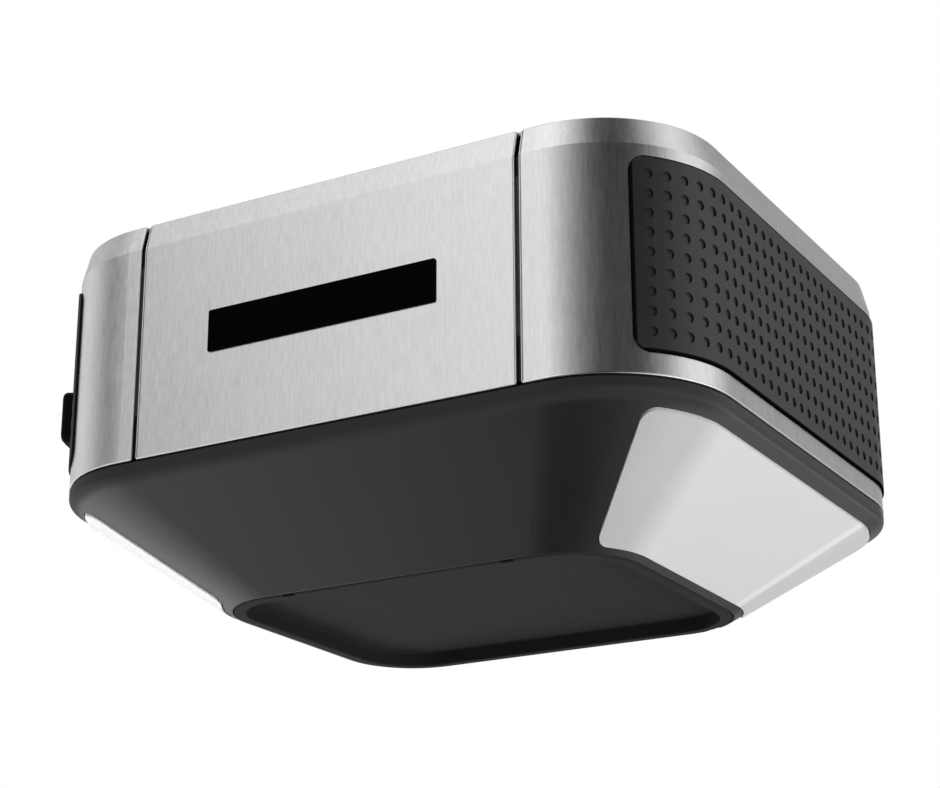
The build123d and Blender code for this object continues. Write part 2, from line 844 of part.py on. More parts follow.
with BuildPart() as right_led_board:
    with BuildSketch(lamp_plane.offset(board_level - board)):
        Rectangle(led_board_length, led_board_width)
    extrude(amount=board)
write(right_led_board, "right_led_board")

with BuildPart() as right_leds:
    with BuildSketch(lamp_plane.offset(board_level - board - led_height)):
        with GridLocations(led_board_length / led_columns, led_board_width / led_rows, led_columns, led_rows):
            Rectangle(led_size, led_size)
    extrude(amount=led_height)
write(right_leds, "right_leds")

lamp_pieces = {"left_led_bracket": right_led_bracket, "left_led_board": right_led_board,
               "left_leds": right_leds}
for lamp_name, lamp_piece in lamp_pieces.items():
    with BuildPart() as left_lamp_piece:
        mirror(lamp_piece.part, about=Plane.YZ)
    write(left_lamp_piece, lamp_name)

# Worm drive: wheel, shaft and sprocket turn about an upright axis, the worm lies along X
base_radius = wheel_radius * cos(radians(pressure_angle))
tip_radius = wheel_radius + gear_module
root_radius = wheel_radius - gear_module - root_clear
tooth_half_angle = (worm_pitch / 2 - tooth_slack) / 2 / wheel_radius
flank_steps = 4
output_place = (0, output_y)


def involute(angle):
    return tan(angle) - angle


def flank_point(radius, side):
    # A point of a tooth flank, on the involute of the base circle.
    angle = tooth_half_angle + involute(radians(pressure_angle)) - involute(acos(base_radius / radius))
    return (radius * cos(angle), side * radius * sin(angle))


flank_step = (tip_radius - base_radius) / (flank_steps - 1)
flank_radii = [base_radius + step * flank_step for step in range(flank_steps)]
with BuildSketch() as wheel_tooth:
    with BuildLine():
        left_flank = Spline(*[flank_point(radius, 1) for radius in flank_radii])
        right_flank = Spline(*[flank_point(radius, -1) for radius in flank_radii])
        Line(left_flank @ 1, right_flank @ 1)
        foot_x = root_radius - gear_module / 2
        Polyline(left_flank @ 0, (foot_x, (left_flank @ 0).Y), (foot_x, (right_flank @ 0).Y), right_flank @ 0)
    make_face()

with BuildSketch() as wheel_profile:
    Circle(root_radius)
    with PolarLocations(0, wheel_teeth):
        add(wheel_tooth.sketch)

# The teeth lean with the worm's lead across the wheel's face.
wheel_twist = degrees(wheel_face * worm_pitch / (2 * pi * worm_pitch_radius) / wheel_radius)
wheel_rim = Solid.extrude_linear_with_rotation(
    wheel_profile.sketch.face(), (0, 0, 0), (0, 0, wheel_face), wheel_twist)

wheel_bottom = drive_z - wheel_face / 2
hub_bottom = wheel_bottom - hub_below
hub_top = wheel_bottom + wheel_face + hub_above
with BuildPart() as worm_wheel:
    with Locations(Location((*output_place, wheel_bottom), (0, 0, -wheel_twist / 2))):
        add(wheel_rim)
    with Locations((*output_place, hub_bottom)):
        Cylinder(wheel_hub / 2, hub_top - hub_bottom, align=(Align.CENTER, Align.CENTER, Align.MIN))
        Cylinder(shaft_r, 4 * wheel_face, mode=Mode.SUBTRACT)
write(worm_wheel, "worm_wheel")

worm_root = worm_pitch_radius - gear_module - root_clear
worm_tip = worm_pitch_radius + gear_module
thread_half = (worm_pitch / 2 - tooth_slack) / 2
thread_foot = worm_root - gear_module / 4
flank_lean = tan(radians(pressure_angle))
thread_length = worm_turns * worm_pitch
worm_length = thread_length + 2 * worm_shoulder


def thread_half_at(radius):
    return thread_half - (radius - worm_pitch_radius) * flank_lean


with BuildPart() as worm_thread:
    with BuildLine() as worm_lead:
        Helix(worm_pitch, thread_length, worm_pitch_radius, center=(0, 0, -thread_length / 2))
    with BuildSketch(Plane.XZ):
        with BuildLine():
            Polyline((thread_foot, -thread_half_at(thread_foot) - thread_length / 2),
                     (worm_tip, -thread_half_at(worm_tip) - thread_length / 2),
                     (worm_tip, thread_half_at(worm_tip) - thread_length / 2),
                     (thread_foot, thread_half_at(thread_foot) - thread_length / 2), close=True)
        make_face()
    sweep(path=worm_lead.line, is_frenet=True)
    Cylinder(worm_root, worm_length)
    Cylinder(motor_r, 2 * worm_length, mode=Mode.SUBTRACT)


def motor_plane(x):
    # A plane square to the motor's axis at a place along it.
    return Plane(origin=(x, worm_y, drive_z), x_dir=(0, 1, 0), z_dir=(1, 0, 0))


with BuildPart() as worm:
    with Locations(motor_plane(0)):
        add(worm_thread.part)
write(worm, "worm")

# Gearbox case, lid, feet and bushes
tunnel_radius = worm_tip + case_clear
cup_radius = tip_radius + case_clear
case_bottom = drive_z - tunnel_radius - case_wall
case_top = drive_z + max(tunnel_radius, hub_top - drive_z + case_clear)
lid_top = case_top + case_wall
tunnel_half = worm_length / 2 + case_clear
motor_face_x = cup_radius + 2 * case_wall
bush_outer = shaft_r + bush_wall
motor_bush_outer = motor_r + bush_wall
box_front_y = worm_y - tunnel_radius - case_wall
foot_reach = cup_radius + foot_radius
foot_places = [(-tunnel_half - case_wall - foot_radius / 2, worm_y - foot_radius),
               (tunnel_half - foot_radius, box_front_y - foot_radius / 2),
               (-foot_reach * cos(radians(foot_angle)), output_y + foot_reach * sin(radians(foot_angle))),
               (foot_reach * cos(radians(foot_angle)), output_y + foot_reach * sin(radians(foot_angle)))]


def gearbox_outline():
    # The gearbox seen from above: round over the wheel, square over the worm, with four feet.
    with Locations(output_place):
        Circle(cup_radius + case_wall)
    with Locations(((motor_face_x - tunnel_half - case_wall) / 2, (box_front_y + output_y) / 2)):
        Rectangle(motor_face_x + tunnel_half + case_wall, output_y - box_front_y)


with BuildPart() as gearbox_case:
    with BuildSketch(Plane.XY.offset(case_bottom)):
        gearbox_outline()
    extrude(amount=case_top - case_bottom)
    with BuildSketch(Plane.XY.offset(case_top - foot_height)):
        with Locations(*foot_places):
            Circle(foot_radius)
    extrude(amount=foot_height)
    with BuildSketch(Plane.XY.offset(hub_bottom - bush_wall / 2)):
        with Locations(output_place):
            Circle(cup_radius)
    extrude(amount=case_top - case_bottom, mode=Mode.SUBTRACT)
    with BuildSketch(motor_plane(-tunnel_half)):
        Circle(tunnel_radius)
    extrude(amount=2 * tunnel_half, mode=Mode.SUBTRACT)
    with Locations((0, worm_y, drive_z)):
        Box(2 * tunnel_half, 2 * tunnel_radius, 2 * tunnel_radius,
            align=(Align.CENTER, Align.CENTER, Align.MIN), mode=Mode.SUBTRACT)
    with BuildSketch(motor_plane(-body_length / 2)):
        Circle(motor_bush_outer)
    extrude(amount=body_length, mode=Mode.SUBTRACT)
    with Locations((*output_place, case_bottom)):
        Cylinder(bush_outer, body_length, mode=Mode.SUBTRACT)
    with Locations(*[(x, y, case_top) for x, y in foot_places]):
        Cylinder(bolt_diameter / 2, 4 * foot_height, mode=Mode.SUBTRACT)
write(gearbox_case, "gearbox_case")

with BuildPart() as gearbox_lid:
    with BuildSketch(Plane.XY.offset(case_top)):
        gearbox_outline()
        with Locations(*foot_places):
            Circle(foot_radius)
        with Locations(output_place):
            Circle(bush_outer, mode=Mode.SUBTRACT)
        with Locations(*foot_places):
            Circle(bolt_diameter / 2 + bolt_clear, mode=Mode.SUBTRACT)
    extrude(amount=case_wall)
write(gearbox_lid, "gearbox_lid")

lower_bush_top = hub_bottom - bush_wall / 2
with BuildPart() as output_bushes:
    with BuildSketch(Plane.XY.offset(case_bottom)):
        with Locations(output_place):
            Circle(bush_outer)
            Circle(shaft_r + running_clear, mode=Mode.SUBTRACT)
    extrude(amount=lower_bush_top - case_bottom)
    with BuildSketch(Plane.XY.offset(case_top)):
        with Locations(output_place):
            Circle(bush_outer)
            Circle(shaft_r + running_clear, mode=Mode.SUBTRACT)
    extrude(amount=case_wall)
write(output_bushes, "output_bushes")

with BuildPart() as isolation_mounts:
    with BuildSketch(Plane.XY.offset(lid_top)):
        with Locations(*foot_places):
            Circle(foot_radius)
            Circle(bolt_diameter / 2 + bolt_clear, mode=Mode.SUBTRACT)
    extrude(amount=-plate - lid_top)
write(isolation_mounts, "isolation_mounts")

with BuildPart() as gearbox_bolts:
    with BuildSketch(Plane.XY.offset(case_top - foot_height)):
        with Locations(*foot_places):
            Circle(bolt_diameter / 2)
    extrude(amount=foot_height - case_top)
    with BuildSketch():
        with Locations(*foot_places):
            RegularPolygon(bolt_head / 2, 6)
    extrude(amount=bolt_head_height)
write(gearbox_bolts, "gearbox_bolts")

# Output shaft, belt sprocket and its clip
sprocket_bottom = sprocket_rise
sprocket_height = belt_width + 2 * sprocket_flange
sprocket_top = sprocket_bottom + sprocket_height
sprocket_radius = sprocket_teeth * belt_pitch / (2 * pi)
flange_radius = sprocket_radius + sprocket_flange
shaft_top = sprocket_top + 3 * clip_sheet
with BuildPart() as output_shaft:
    with BuildSketch(Plane.XY.offset(case_bottom)):
        with Locations(output_place):
            Circle(shaft_r)
    extrude(amount=shaft_top - case_bottom)
    chamfer(output_shaft.faces().sort_by(Axis.Z)[-1].edges(), clip_groove / 2)
    with BuildSketch(Plane.XY.offset(sprocket_top)):
        with Locations(output_place):
            Circle(2 * shaft_r)
            Circle(shaft_r - clip_groove, mode=Mode.SUBTRACT)
    extrude(amount=clip_sheet, mode=Mode.SUBTRACT)
write(output_shaft, "output_shaft")

with BuildPart() as drive_sprocket:
    with BuildSketch(Plane.XY.offset(sprocket_bottom)):
        with Locations(output_place):
            Circle(flange_radius)
    extrude(amount=sprocket_height)
    with BuildSketch(Plane.XY.offset(sprocket_bottom + sprocket_flange)):
        with Locations(output_place):
            Circle(2 * flange_radius)
            Circle(sprocket_radius, mode=Mode.SUBTRACT)
            with PolarLocations(sprocket_radius, sprocket_teeth):
                Circle(belt_pitch / 4)
    extrude(amount=belt_width, mode=Mode.SUBTRACT)
    with Locations((*output_place, sprocket_bottom)):
        Cylinder(shaft_r, 4 * sprocket_height, mode=Mode.SUBTRACT)
write(drive_sprocket, "drive_sprocket")

with BuildPart() as sprocket_clip:
    with BuildSketch(Plane.XY.offset(sprocket_top)):
        with Locations(output_place):
            Circle(shaft_r + 3 * clip_groove)
            Circle(shaft_r - clip_groove, mode=Mode.SUBTRACT)
            Rectangle(shaft_r, 4 * shaft_r, align=(Align.CENTER, Align.MIN), mode=Mode.SUBTRACT)
    extrude(amount=clip_sheet)
write(sprocket_clip, "sprocket_clip")

hood_half = flange_radius + hood_gap + hood_wall
hood_screw_x = hood_half + hood_ear / 2
hood_screw_places = [(-hood_screw_x, output_y), (hood_screw_x, output_y)]
with BuildPart() as sprocket_cover:
    with BuildSketch():
        with Locations(output_place):
            RectangleRounded(2 * hood_half, 2 * hood_half, hood_corner)
    extrude(amount=hood_height)
    fillet(sprocket_cover.faces().sort_by(Axis.Z)[-1].edges(), 2 * hood_wall)
    with BuildSketch():
        with Locations(output_place):
            RectangleRounded(2 * hood_half + 2 * hood_ear, hood_ear_width, hood_ear_width / 3)
    extrude(amount=hood_wall)
    with BuildSketch():
        with Locations(output_place):
            hood_inside = 2 * hood_half - 2 * hood_wall
            RectangleRounded(hood_inside, hood_inside, hood_corner - hood_wall)
        with Locations(*hood_screw_places):
            Circle(screw_shank / 2 + screw_clear)
    extrude(amount=hood_height - hood_wall, mode=Mode.SUBTRACT)
    with Locations((0, output_y, sprocket_bottom / 2)):
        Box(2 * flange_radius + 2 * hood_wall, 2 * hood_half, sprocket_height + sprocket_rise,
            align=(Align.CENTER, Align.MIN, Align.MIN), mode=Mode.SUBTRACT)
write(sprocket_cover, "sprocket_cover")

# Motor, bolted to the side of the gearbox
can_end_x = motor_face_x + can_length
can_inner = can_radius - can_wall
armature_radius = can_inner - magnet_thickness - air_gap
armature_x = motor_face_x + armature_setback
armature_end_x = armature_x + armature_length
commutator_x = armature_end_x + winding_length + bush_wall
commutator_end_x = commutator_x + commutator_length
cap_end_x = can_end_x + end_cap_thickness
disc_x = cap_end_x + running_clear + bush_wall
shaft_start_x = -tunnel_half - case_wall
shaft_end_x = disc_x + disc_length
with BuildPart() as motor_can:
    with BuildSketch(motor_plane(motor_face_x)):
        Circle(can_radius)
    extrude(amount=can_length)
    with BuildSketch(motor_plane(motor_face_x + can_wall)):
        Circle(can_inner)
    extrude(amount=can_length, mode=Mode.SUBTRACT)
    with BuildSketch(motor_plane(motor_face_x)):
        Circle(motor_bush_outer)
    extrude(amount=can_length, mode=Mode.SUBTRACT)
write(motor_can, "motor_can")

with BuildPart() as motor_magnets:
    with BuildSketch(motor_plane(armature_x - bush_wall)):
        Circle(can_inner)
        Circle(can_inner - magnet_thickness, mode=Mode.SUBTRACT)
        with PolarLocations(can_inner, 2):
            Rectangle(can_inner, 2 * can_inner * cos(radians(magnet_arc / 2)), mode=Mode.SUBTRACT)
    extrude(amount=armature_length + 2 * bush_wall)
write(motor_magnets, "motor_magnets")

with BuildPart() as motor_end_cap:
    with BuildSketch(motor_plane(can_end_x)):
        Circle(can_radius)
        Circle(motor_bush_outer, mode=Mode.SUBTRACT)
    extrude(amount=end_cap_thickness)
    with BuildSketch(motor_plane(commutator_x)):
        with PolarLocations(commutator_radius + brush_gap + brush_length, 2):
            Rectangle(bush_wall, 2 * brush_width, align=(Align.MIN, Align.CENTER))
    extrude(amount=can_end_x - commutator_x)
write(motor_end_cap, "motor_end_cap")

with BuildPart() as carbon_brushes:
    with BuildSketch(motor_plane(commutator_x + commutator_length / 4)):
        with PolarLocations(commutator_radius + brush_gap, 2):
            Rectangle(brush_length, brush_width, align=(Align.MIN, Align.CENTER))
    extrude(amount=commutator_length / 2)
write(carbon_brushes, "carbon_brushes")

bearing_spans = [(shaft_start_x, -tunnel_half), (motor_face_x - 2 * case_wall, motor_face_x + can_wall),
                 (can_end_x, cap_end_x)]
with BuildPart() as motor_bearings:
    for start, end in bearing_spans:
        with BuildSketch(motor_plane(start)):
            Circle(motor_bush_outer)
            Circle(motor_r + running_clear, mode=Mode.SUBTRACT)
        extrude(amount=end - start)
write(motor_bearings, "motor_bearings")

with BuildPart() as motor_shaft:
    with BuildSketch(motor_plane(shaft_start_x)):
        Circle(motor_r)
    extrude(amount=shaft_end_x - shaft_start_x)
write(motor_shaft, "motor_shaft")

with BuildPart() as armature:
    with BuildSketch(motor_plane(armature_x)):
        Circle(armature_radius)
        Circle(motor_r, mode=Mode.SUBTRACT)
        with PolarLocations(armature_radius, armature_slots):
            Rectangle(2 * slot_depth, slot_width, mode=Mode.SUBTRACT)
    extrude(amount=armature_length)
write(armature, "armature")

winding_outer = armature_radius - slot_width
with BuildPart() as armature_windings:
    for start in (armature_x - winding_length, armature_end_x):
        with BuildSketch(motor_plane(start)):
            Circle(winding_outer)
            Circle(motor_r + bush_wall, mode=Mode.SUBTRACT)
        extrude(amount=winding_length)
write(armature_windings, "armature_windings")

with BuildPart() as commutator:
    with BuildSketch(motor_plane(commutator_x)):
        Circle(commutator_radius)
        Circle(motor_r, mode=Mode.SUBTRACT)
        with PolarLocations(commutator_radius, armature_slots):
            Rectangle(slot_width, slot_width / 4, mode=Mode.SUBTRACT)
    extrude(amount=commutator_length)
write(commutator, "commutator")

with BuildPart() as speed_disc:
    with BuildSketch(motor_plane(disc_x)):
        Circle(disc_radius)
        Circle(motor_r, mode=Mode.SUBTRACT)
    extrude(amount=disc_length)
    with BuildSketch(motor_plane(disc_x + disc_length / 3)):
        Circle(disc_radius - bush_wall / 2)
        Circle(motor_bush_outer, mode=Mode.SUBTRACT)
        with PolarLocations(disc_radius, armature_slots // 2):
            Rectangle(2 * bush_wall, slot_width)
    extrude(amount=disc_length, mode=Mode.SUBTRACT)
write(speed_disc, "speed_disc")

sensor_gap = 2 * running_clear + air_gap
with BuildPart() as speed_sensor:
    with Locations((cap_end_x, worm_y, drive_z + disc_radius + sensor_gap)):
        Box(disc_x + disc_length - cap_end_x, 2 * brush_width, brush_width,
            align=(Align.MIN, Align.CENTER, Align.MIN))
write(speed_sensor, "speed_sensor")

# Top plate, with the holes for everything that passes through it
rail_end_y = half_width - bevel_inset - cover_sheet - rail_edge_margin
rail_y = rail_end_y - rail_channel_length / 2
gland_outer = gland_bore / 2 + gland_wall
gland_x = -half_length + gland_inset_x
gland_y = half_width - gland_inset_y
core_top = -plate
foot_screw_x = core_length / 2 + core_foot / 2
supply_screw_places = [(supply_x - foot_screw_x, supply_y), (supply_x + foot_screw_x, supply_y)]
with BuildPart() as top_chassis:
    with BuildSketch(Plane.XY.offset(-plate)):
        plan(bevel_inset + cover_sheet + plate_gap)
        with GridLocations(hanger_spacing_x, hanger_spacing_y, 2, 2):
            Circle(hanger_hole / 2, mode=Mode.SUBTRACT)
        with Locations((0, rail_y)):
            with GridLocations(rail_spacing_x, rail_spacing_y, 2, 2):
                Circle(rail_hole / 2, mode=Mode.SUBTRACT)
        with Locations(output_place):
            Circle(bush_outer, mode=Mode.SUBTRACT)
        with Locations(*foot_places):
            Circle(bolt_diameter / 2 + bolt_clear, mode=Mode.SUBTRACT)
        with Locations(*chassis_screw_places, *hood_screw_places, *supply_screw_places):
            Circle(screw_shank / 2 + screw_clear, mode=Mode.SUBTRACT)
        with Locations((gland_x, gland_y)):
            Circle(gland_outer, mode=Mode.SUBTRACT)
    extrude(amount=plate)
write(top_chassis, "top_chassis")

with BuildPart() as weld_nuts:
    with BuildSketch(Plane.XY.offset(-plate)):
        with GridLocations(hanger_spacing_x, hanger_spacing_y, 2, 2):
            RegularPolygon(weld_nut_width / 2, 6, major_radius=False)
            Circle(hanger_hole / 2, mode=Mode.SUBTRACT)
    extrude(amount=-weld_nut_height)
write(weld_nuts, "weld_nuts")

with BuildPart() as rail_bracket:
    with Locations((0, rail_y, 0)):
        Box(rail_channel_width, rail_channel_length, rail_channel_height,
            align=(Align.CENTER, Align.CENTER, Align.MIN))
        with Locations((0, 0, rail_sheet)):
            Box(rail_channel_width - 2 * rail_sheet, 2 * rail_channel_length, rail_channel_height,
                align=(Align.CENTER, Align.CENTER, Align.MIN), mode=Mode.SUBTRACT)
    with BuildSketch():
        with Locations((0, rail_y)):
            with GridLocations(rail_spacing_x, rail_spacing_y, 2, 2):
                Circle(rail_hole / 2)
    extrude(amount=rail_sheet, mode=Mode.SUBTRACT)
    with BuildSketch(Plane.YZ):
        with Locations((rail_y, rail_sheet + rail_channel_height / 2)):
            Circle(rail_hole / 2)
    extrude(amount=rail_channel_width, both=True, mode=Mode.SUBTRACT)
write(rail_bracket, "rail_bracket")


def pan_screws(name, groups):
    # Pan head screws driven down from a seat to a tip, each with a crossed driver recess.
    with BuildPart() as screws:
        for places, seat_z, tip_z in groups:
            with BuildSketch(Plane.XY.offset(tip_z)):
                with Locations(*places):
                    Circle(screw_shank / 2)
            extrude(amount=seat_z - tip_z)
            with BuildSketch(Plane.XY.offset(seat_z)):
                with Locations(*places):
                    Circle(screw_head / 2)
            extrude(amount=screw_head_height)
            head_z = seat_z + screw_head_height
            fillet(screws.faces().filter_by_position(Axis.Z, head_z, head_z).edges(), screw_head_height / 3)
            with BuildSketch(Plane.XY.offset(head_z)):
                with Locations(*places):
                    Rectangle(screw_head / 2, screw_slot)
                    Rectangle(screw_slot, screw_head / 2)
            extrude(amount=-screw_head_height / 2, mode=Mode.SUBTRACT)
    write(screws, name)


chassis_tip_z = flange_bottom - screw_grip
pan_screws("chassis_screws", [(chassis_screw_places + supply_screw_places, 0, chassis_tip_z),
                              (hood_screw_places, hood_wall, chassis_tip_z)])
pan_screws("housing_screws", [(boss_places, cover_bottom + cover_sheet, cover_bottom - screw_grip)])

# Power gland in the top plate: a flanged bush and its nut
with BuildPart() as power_gland:
    with BuildSketch(Plane.XY.offset(-gland_depth)):
        with Locations((gland_x, gland_y)):
            Circle(gland_outer)
    extrude(amount=gland_depth)
    for level, height in ((0, gland_wall), (-plate - gland_flange, gland_flange)):
        with BuildSketch(Plane.XY.offset(level)):
            with Locations((gland_x, gland_y)):
                RegularPolygon(gland_outer + gland_flange, 6)
        extrude(amount=height)
    with Locations((gland_x, gland_y)):
        Cylinder(gland_bore / 2, 4 * gland_depth, mode=Mode.SUBTRACT)
write(power_gland, "power_gland")

# Power transformer hung from the top plate
core_window = (core_length - 4 * core_leg) / 2
core_middle_z = core_top - core_height / 2
window_x = core_leg + core_window / 2
coil_height = core_height - 2 * core_leg
with BuildPart() as transformer_core:
    with Locations((supply_x, supply_y, core_middle_z)):
        Box(core_length, core_stack, core_height)
        with GridLocations(2 * window_x, 0, 2, 1):
            Box(core_window, 2 * core_stack, coil_height, mode=Mode.SUBTRACT)
    with Locations((supply_x, supply_y, core_top)):
        Box(core_length + 2 * core_foot, core_stack, plate, align=(Align.CENTER, Align.CENTER, Align.MAX))
    with Locations(*[(x, y, core_top) for x, y in supply_screw_places]):
        Cylinder(screw_shank / 2, 4 * plate, mode=Mode.SUBTRACT)
write(transformer_core, "transformer_core")

with BuildPart() as transformer_winding:
    with BuildSketch(Plane.XY.offset(core_middle_z - coil_height / 2 + winding_gap)):
        with Locations((supply_x, supply_y)):
            coil_length = 2 * core_leg + 2 * core_window - 2 * winding_gap
            RectangleRounded(coil_length, core_stack + 2 * winding_bulge, winding_bulge)
            Rectangle(2 * core_leg + 2 * winding_gap, core_stack + 2 * winding_gap, mode=Mode.SUBTRACT)
    extrude(amount=coil_height - 2 * winding_gap)
write(transformer_winding, "transformer_winding")

# Logic board, stood off the left panel
panel_inner_x = -half_length + panel_back
logic_x = panel_inner_x + logic_standoff
logic_z = -logic_drop - logic_height / 2
with BuildPart() as board_standoffs:
    with BuildSketch(Plane.YZ.offset(panel_inner_x)):
        with Locations((logic_y, logic_z)):
            with GridLocations(logic_length - 2 * standoff_inset, logic_height - 2 * standoff_inset, 2, 2):
                Circle(standoff_radius)
    extrude(amount=logic_standoff)
write(board_standoffs, "board_standoffs")

with BuildPart() as logic_board:
    with Locations((logic_x, logic_y, logic_z)):
        Box(board, logic_length, logic_height, align=(Align.MIN, Align.CENTER, Align.CENTER))
write(logic_board, "logic_board")

parts_x = logic_x + board
column_steps = [column - (component_columns - 1) / 2 for column in range(component_columns)]
relay_z = logic_z + logic_height / 4
capacitor_z = logic_z - logic_height / 4
with BuildPart() as board_components:
    with BuildSketch(Plane.YZ.offset(parts_x)):
        with Locations(*[(logic_y + step * capacitor_pitch, capacitor_z) for step in column_steps]):
            Circle(capacitor_radius)
    extrude(amount=capacitor_height)
    fillet(board_components.faces().group_by(Axis.X)[-1].edges(), capacitor_round)
    with Locations(*[(parts_x, logic_y + step * relay_pitch, relay_z) for step in column_steps]):
        Box(relay_height, relay_length, relay_width, align=(Align.MIN, Align.CENTER, Align.CENTER))
write(board_components, "board_components")
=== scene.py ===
import bpy
from math import cos, pi, radians, sin
from mathutils import Matrix, Vector


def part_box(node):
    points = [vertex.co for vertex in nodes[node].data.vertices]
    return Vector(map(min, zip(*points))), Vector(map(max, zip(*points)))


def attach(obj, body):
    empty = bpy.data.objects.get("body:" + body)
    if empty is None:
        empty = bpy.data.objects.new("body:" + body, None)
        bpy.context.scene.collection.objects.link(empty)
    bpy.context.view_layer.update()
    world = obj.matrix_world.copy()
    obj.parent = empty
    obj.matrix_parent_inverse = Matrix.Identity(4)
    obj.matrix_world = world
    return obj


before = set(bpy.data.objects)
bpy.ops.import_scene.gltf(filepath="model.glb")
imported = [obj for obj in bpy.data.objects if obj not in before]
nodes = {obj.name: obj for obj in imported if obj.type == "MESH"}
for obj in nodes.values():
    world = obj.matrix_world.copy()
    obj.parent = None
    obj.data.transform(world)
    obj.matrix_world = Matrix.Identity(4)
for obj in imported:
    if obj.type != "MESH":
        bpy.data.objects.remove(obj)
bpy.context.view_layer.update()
scene = bpy.context.scene
scene.view_settings.view_transform = "Standard"
mm = 0.001

print("frame loaded:", len(nodes), "nodes")

# Camera, from the photograph's own view
cameraView = {
    "place": (0.55402, -0.98091, -0.46857),
    "azimuth": 29.825,
    "elevation": -19.767,
    "roll": -0.213,
    "lens": 84.232,
    "sensor": 36.0,
    "near": 0.01,
    "far": 50.0,
}


def makeCamera(view):
    azimuth, elevation, roll = (radians(view[key]) for key in ("azimuth", "elevation", "roll"))
    back = Vector((sin(azimuth) * cos(elevation), -cos(azimuth) * cos(elevation), sin(elevation)))
    right = (-back).cross(Vector((0, 0, 1))).normalized()
    up = right.cross(-back)
    rolledRight = right * cos(roll) + up * sin(roll)
    rolledUp = up * cos(roll) - right * sin(roll)
    turn = Matrix((rolledRight, rolledUp, back)).transposed()
    data = bpy.data.cameras.new("viewCamera")
    data.lens = view["lens"]
    data.sensor_width = view["sensor"]
    data.clip_start = view["near"]
    data.clip_end = view["far"]
    camera = bpy.data.objects.new("viewCamera", data)
    camera.matrix_world = Matrix.Translation(view["place"]) @ turn.to_4x4()
    scene.collection.objects.link(camera)
    scene.camera = camera


makeCamera(cameraView)
print("camera placed")


# Shader sockets that take part in plain arithmetic
class Sock:
    def __init__(self, tree, socket):
        self.tree = tree
        self.socket = socket

    def math(self, operation, other=None):
        return self.tree.node("ShaderNodeMath", {"operation": operation}, {0: self, 1: other})

    def __add__(self, other):
        return self.math("ADD", other)

    def __sub__(self, other):
        return self.math("SUBTRACT", other)

    def __mul__(self, other):
        return self.math("MULTIPLY", other)

    def __truediv__(self, other):
        return self.math("DIVIDE", other)

    def swing(self, amount):
        return (self - 0.5) * amount  # a noise value turned to both sides of zero


class Tree:
    def __init__(self, owner):
        owner.use_nodes = True
        self.nodes = owner.node_tree.nodes
        self.links = owner.node_tree.links
        self.nodes.clear()

    def node(self, kind, settings=None, values=None, out=0):
        made = self.nodes.new(kind)
        for key, value in (settings or {}).items():
            if key == "stops":
                self.fillRamp(made.color_ramp, value)
            else:
                setattr(made, key, value)
        for key, value in (values or {}).items():
            if isinstance(value, Sock):
                self.links.new(value.socket, made.inputs[key])
            elif value is not None:
                made.inputs[key].default_value = value
        return Sock(self, made.outputs[out]) if made.outputs else None

    def fillRamp(self, ramp, stops):
        while len(ramp.elements) > 1:
            ramp.elements.remove(ramp.elements[-1])
        for index, (place, level) in enumerate(stops):
            element = ramp.elements[0] if index == 0 else ramp.elements.new(place)
            element.position = place
            element.color = grey(level)

    def axes(self, coordinates="Object"):
        spot = self.node("ShaderNodeTexCoord", out=coordinates)
        parts = self.node("ShaderNodeSeparateXYZ", {}, {0: spot}).socket.node.outputs
        return [Sock(self, part) for part in parts]

    def place(self, scale=(1.0, 1.0, 1.0), turn=(0.0, 0.0, 0.0)):
        spot = self.node("ShaderNodeTexCoord", out="Object")
        return self.node("ShaderNodeMapping", {}, {"Vector": spot, "Rotation": turn, "Scale": scale})

    def noise(self, size, stretch=(1.0, 1.0, 1.0), detail=2.0, rough=0.5):
        return self.node("ShaderNodeTexNoise", {}, {"Vector": self.place(stretch), "Scale": 1.0 / size,
                                                    "Detail": detail, "Roughness": rough})

    def ramp(self, value, stops):
        return self.node("ShaderNodeValToRGB", {"stops": stops}, {0: value})

    def blend(self, factor, first, second):
        return self.node("ShaderNodeMix", {"data_type": "RGBA"}, {0: factor, 6: first, 7: second}, out=2)

    def around(self, factor, level, spread):
        return self.blend(factor, grey(level * (1 - spread)), grey(level * (1 + spread)))

    def slope(self, value, start, stop):
        return self.node("ShaderNodeMapRange", {"interpolation_type": "SMOOTHSTEP"},
                         {"Value": value, "From Min": start, "From Max": stop})

    def bump(self, height, distance, strength):
        return self.node("ShaderNodeBump", {}, {"Height": height, "Distance": distance, "Strength": strength})


def grey(level):
    return (level, level, level, 1.0)


def shade(tint, factor):
    return tuple(min(1.0, channel * factor) for channel in tint) + (1.0,)


def newMaterial(name):
    material = bpy.data.materials.new(name)
    return material, Tree(material)


socketNames = {"colour": "Base Color", "rough": "Roughness", "metal": "Metallic", "normal": "Normal",
               "specular": "Specular IOR Level", "under": "Subsurface Weight",
               "underScale": "Subsurface Scale"}


def coating(tree, **sockets):
    values = {socketNames[key]: value for key, value in sockets.items()}
    return tree.node("ShaderNodeBsdfPrincipled", {}, values)


def surface(tree, **sockets):
    tree.node("ShaderNodeOutputMaterial", {}, {"Surface": coating(tree, **sockets)})


# Finishes, one function each
shellLook = {"colour": 0.69, "streak": 0.25, "grain": 0.0014, "length": 0.0085, "rough": 0.30,
             "fineRough": 0.10, "broad": 0.005, "broadLean": 0.10, "broadTone": 0.07, "broadRough": 0.05,
             "cloud": 0.05, "cloudTone": 0.05, "depth": 0.00001, "strength": 0.08}


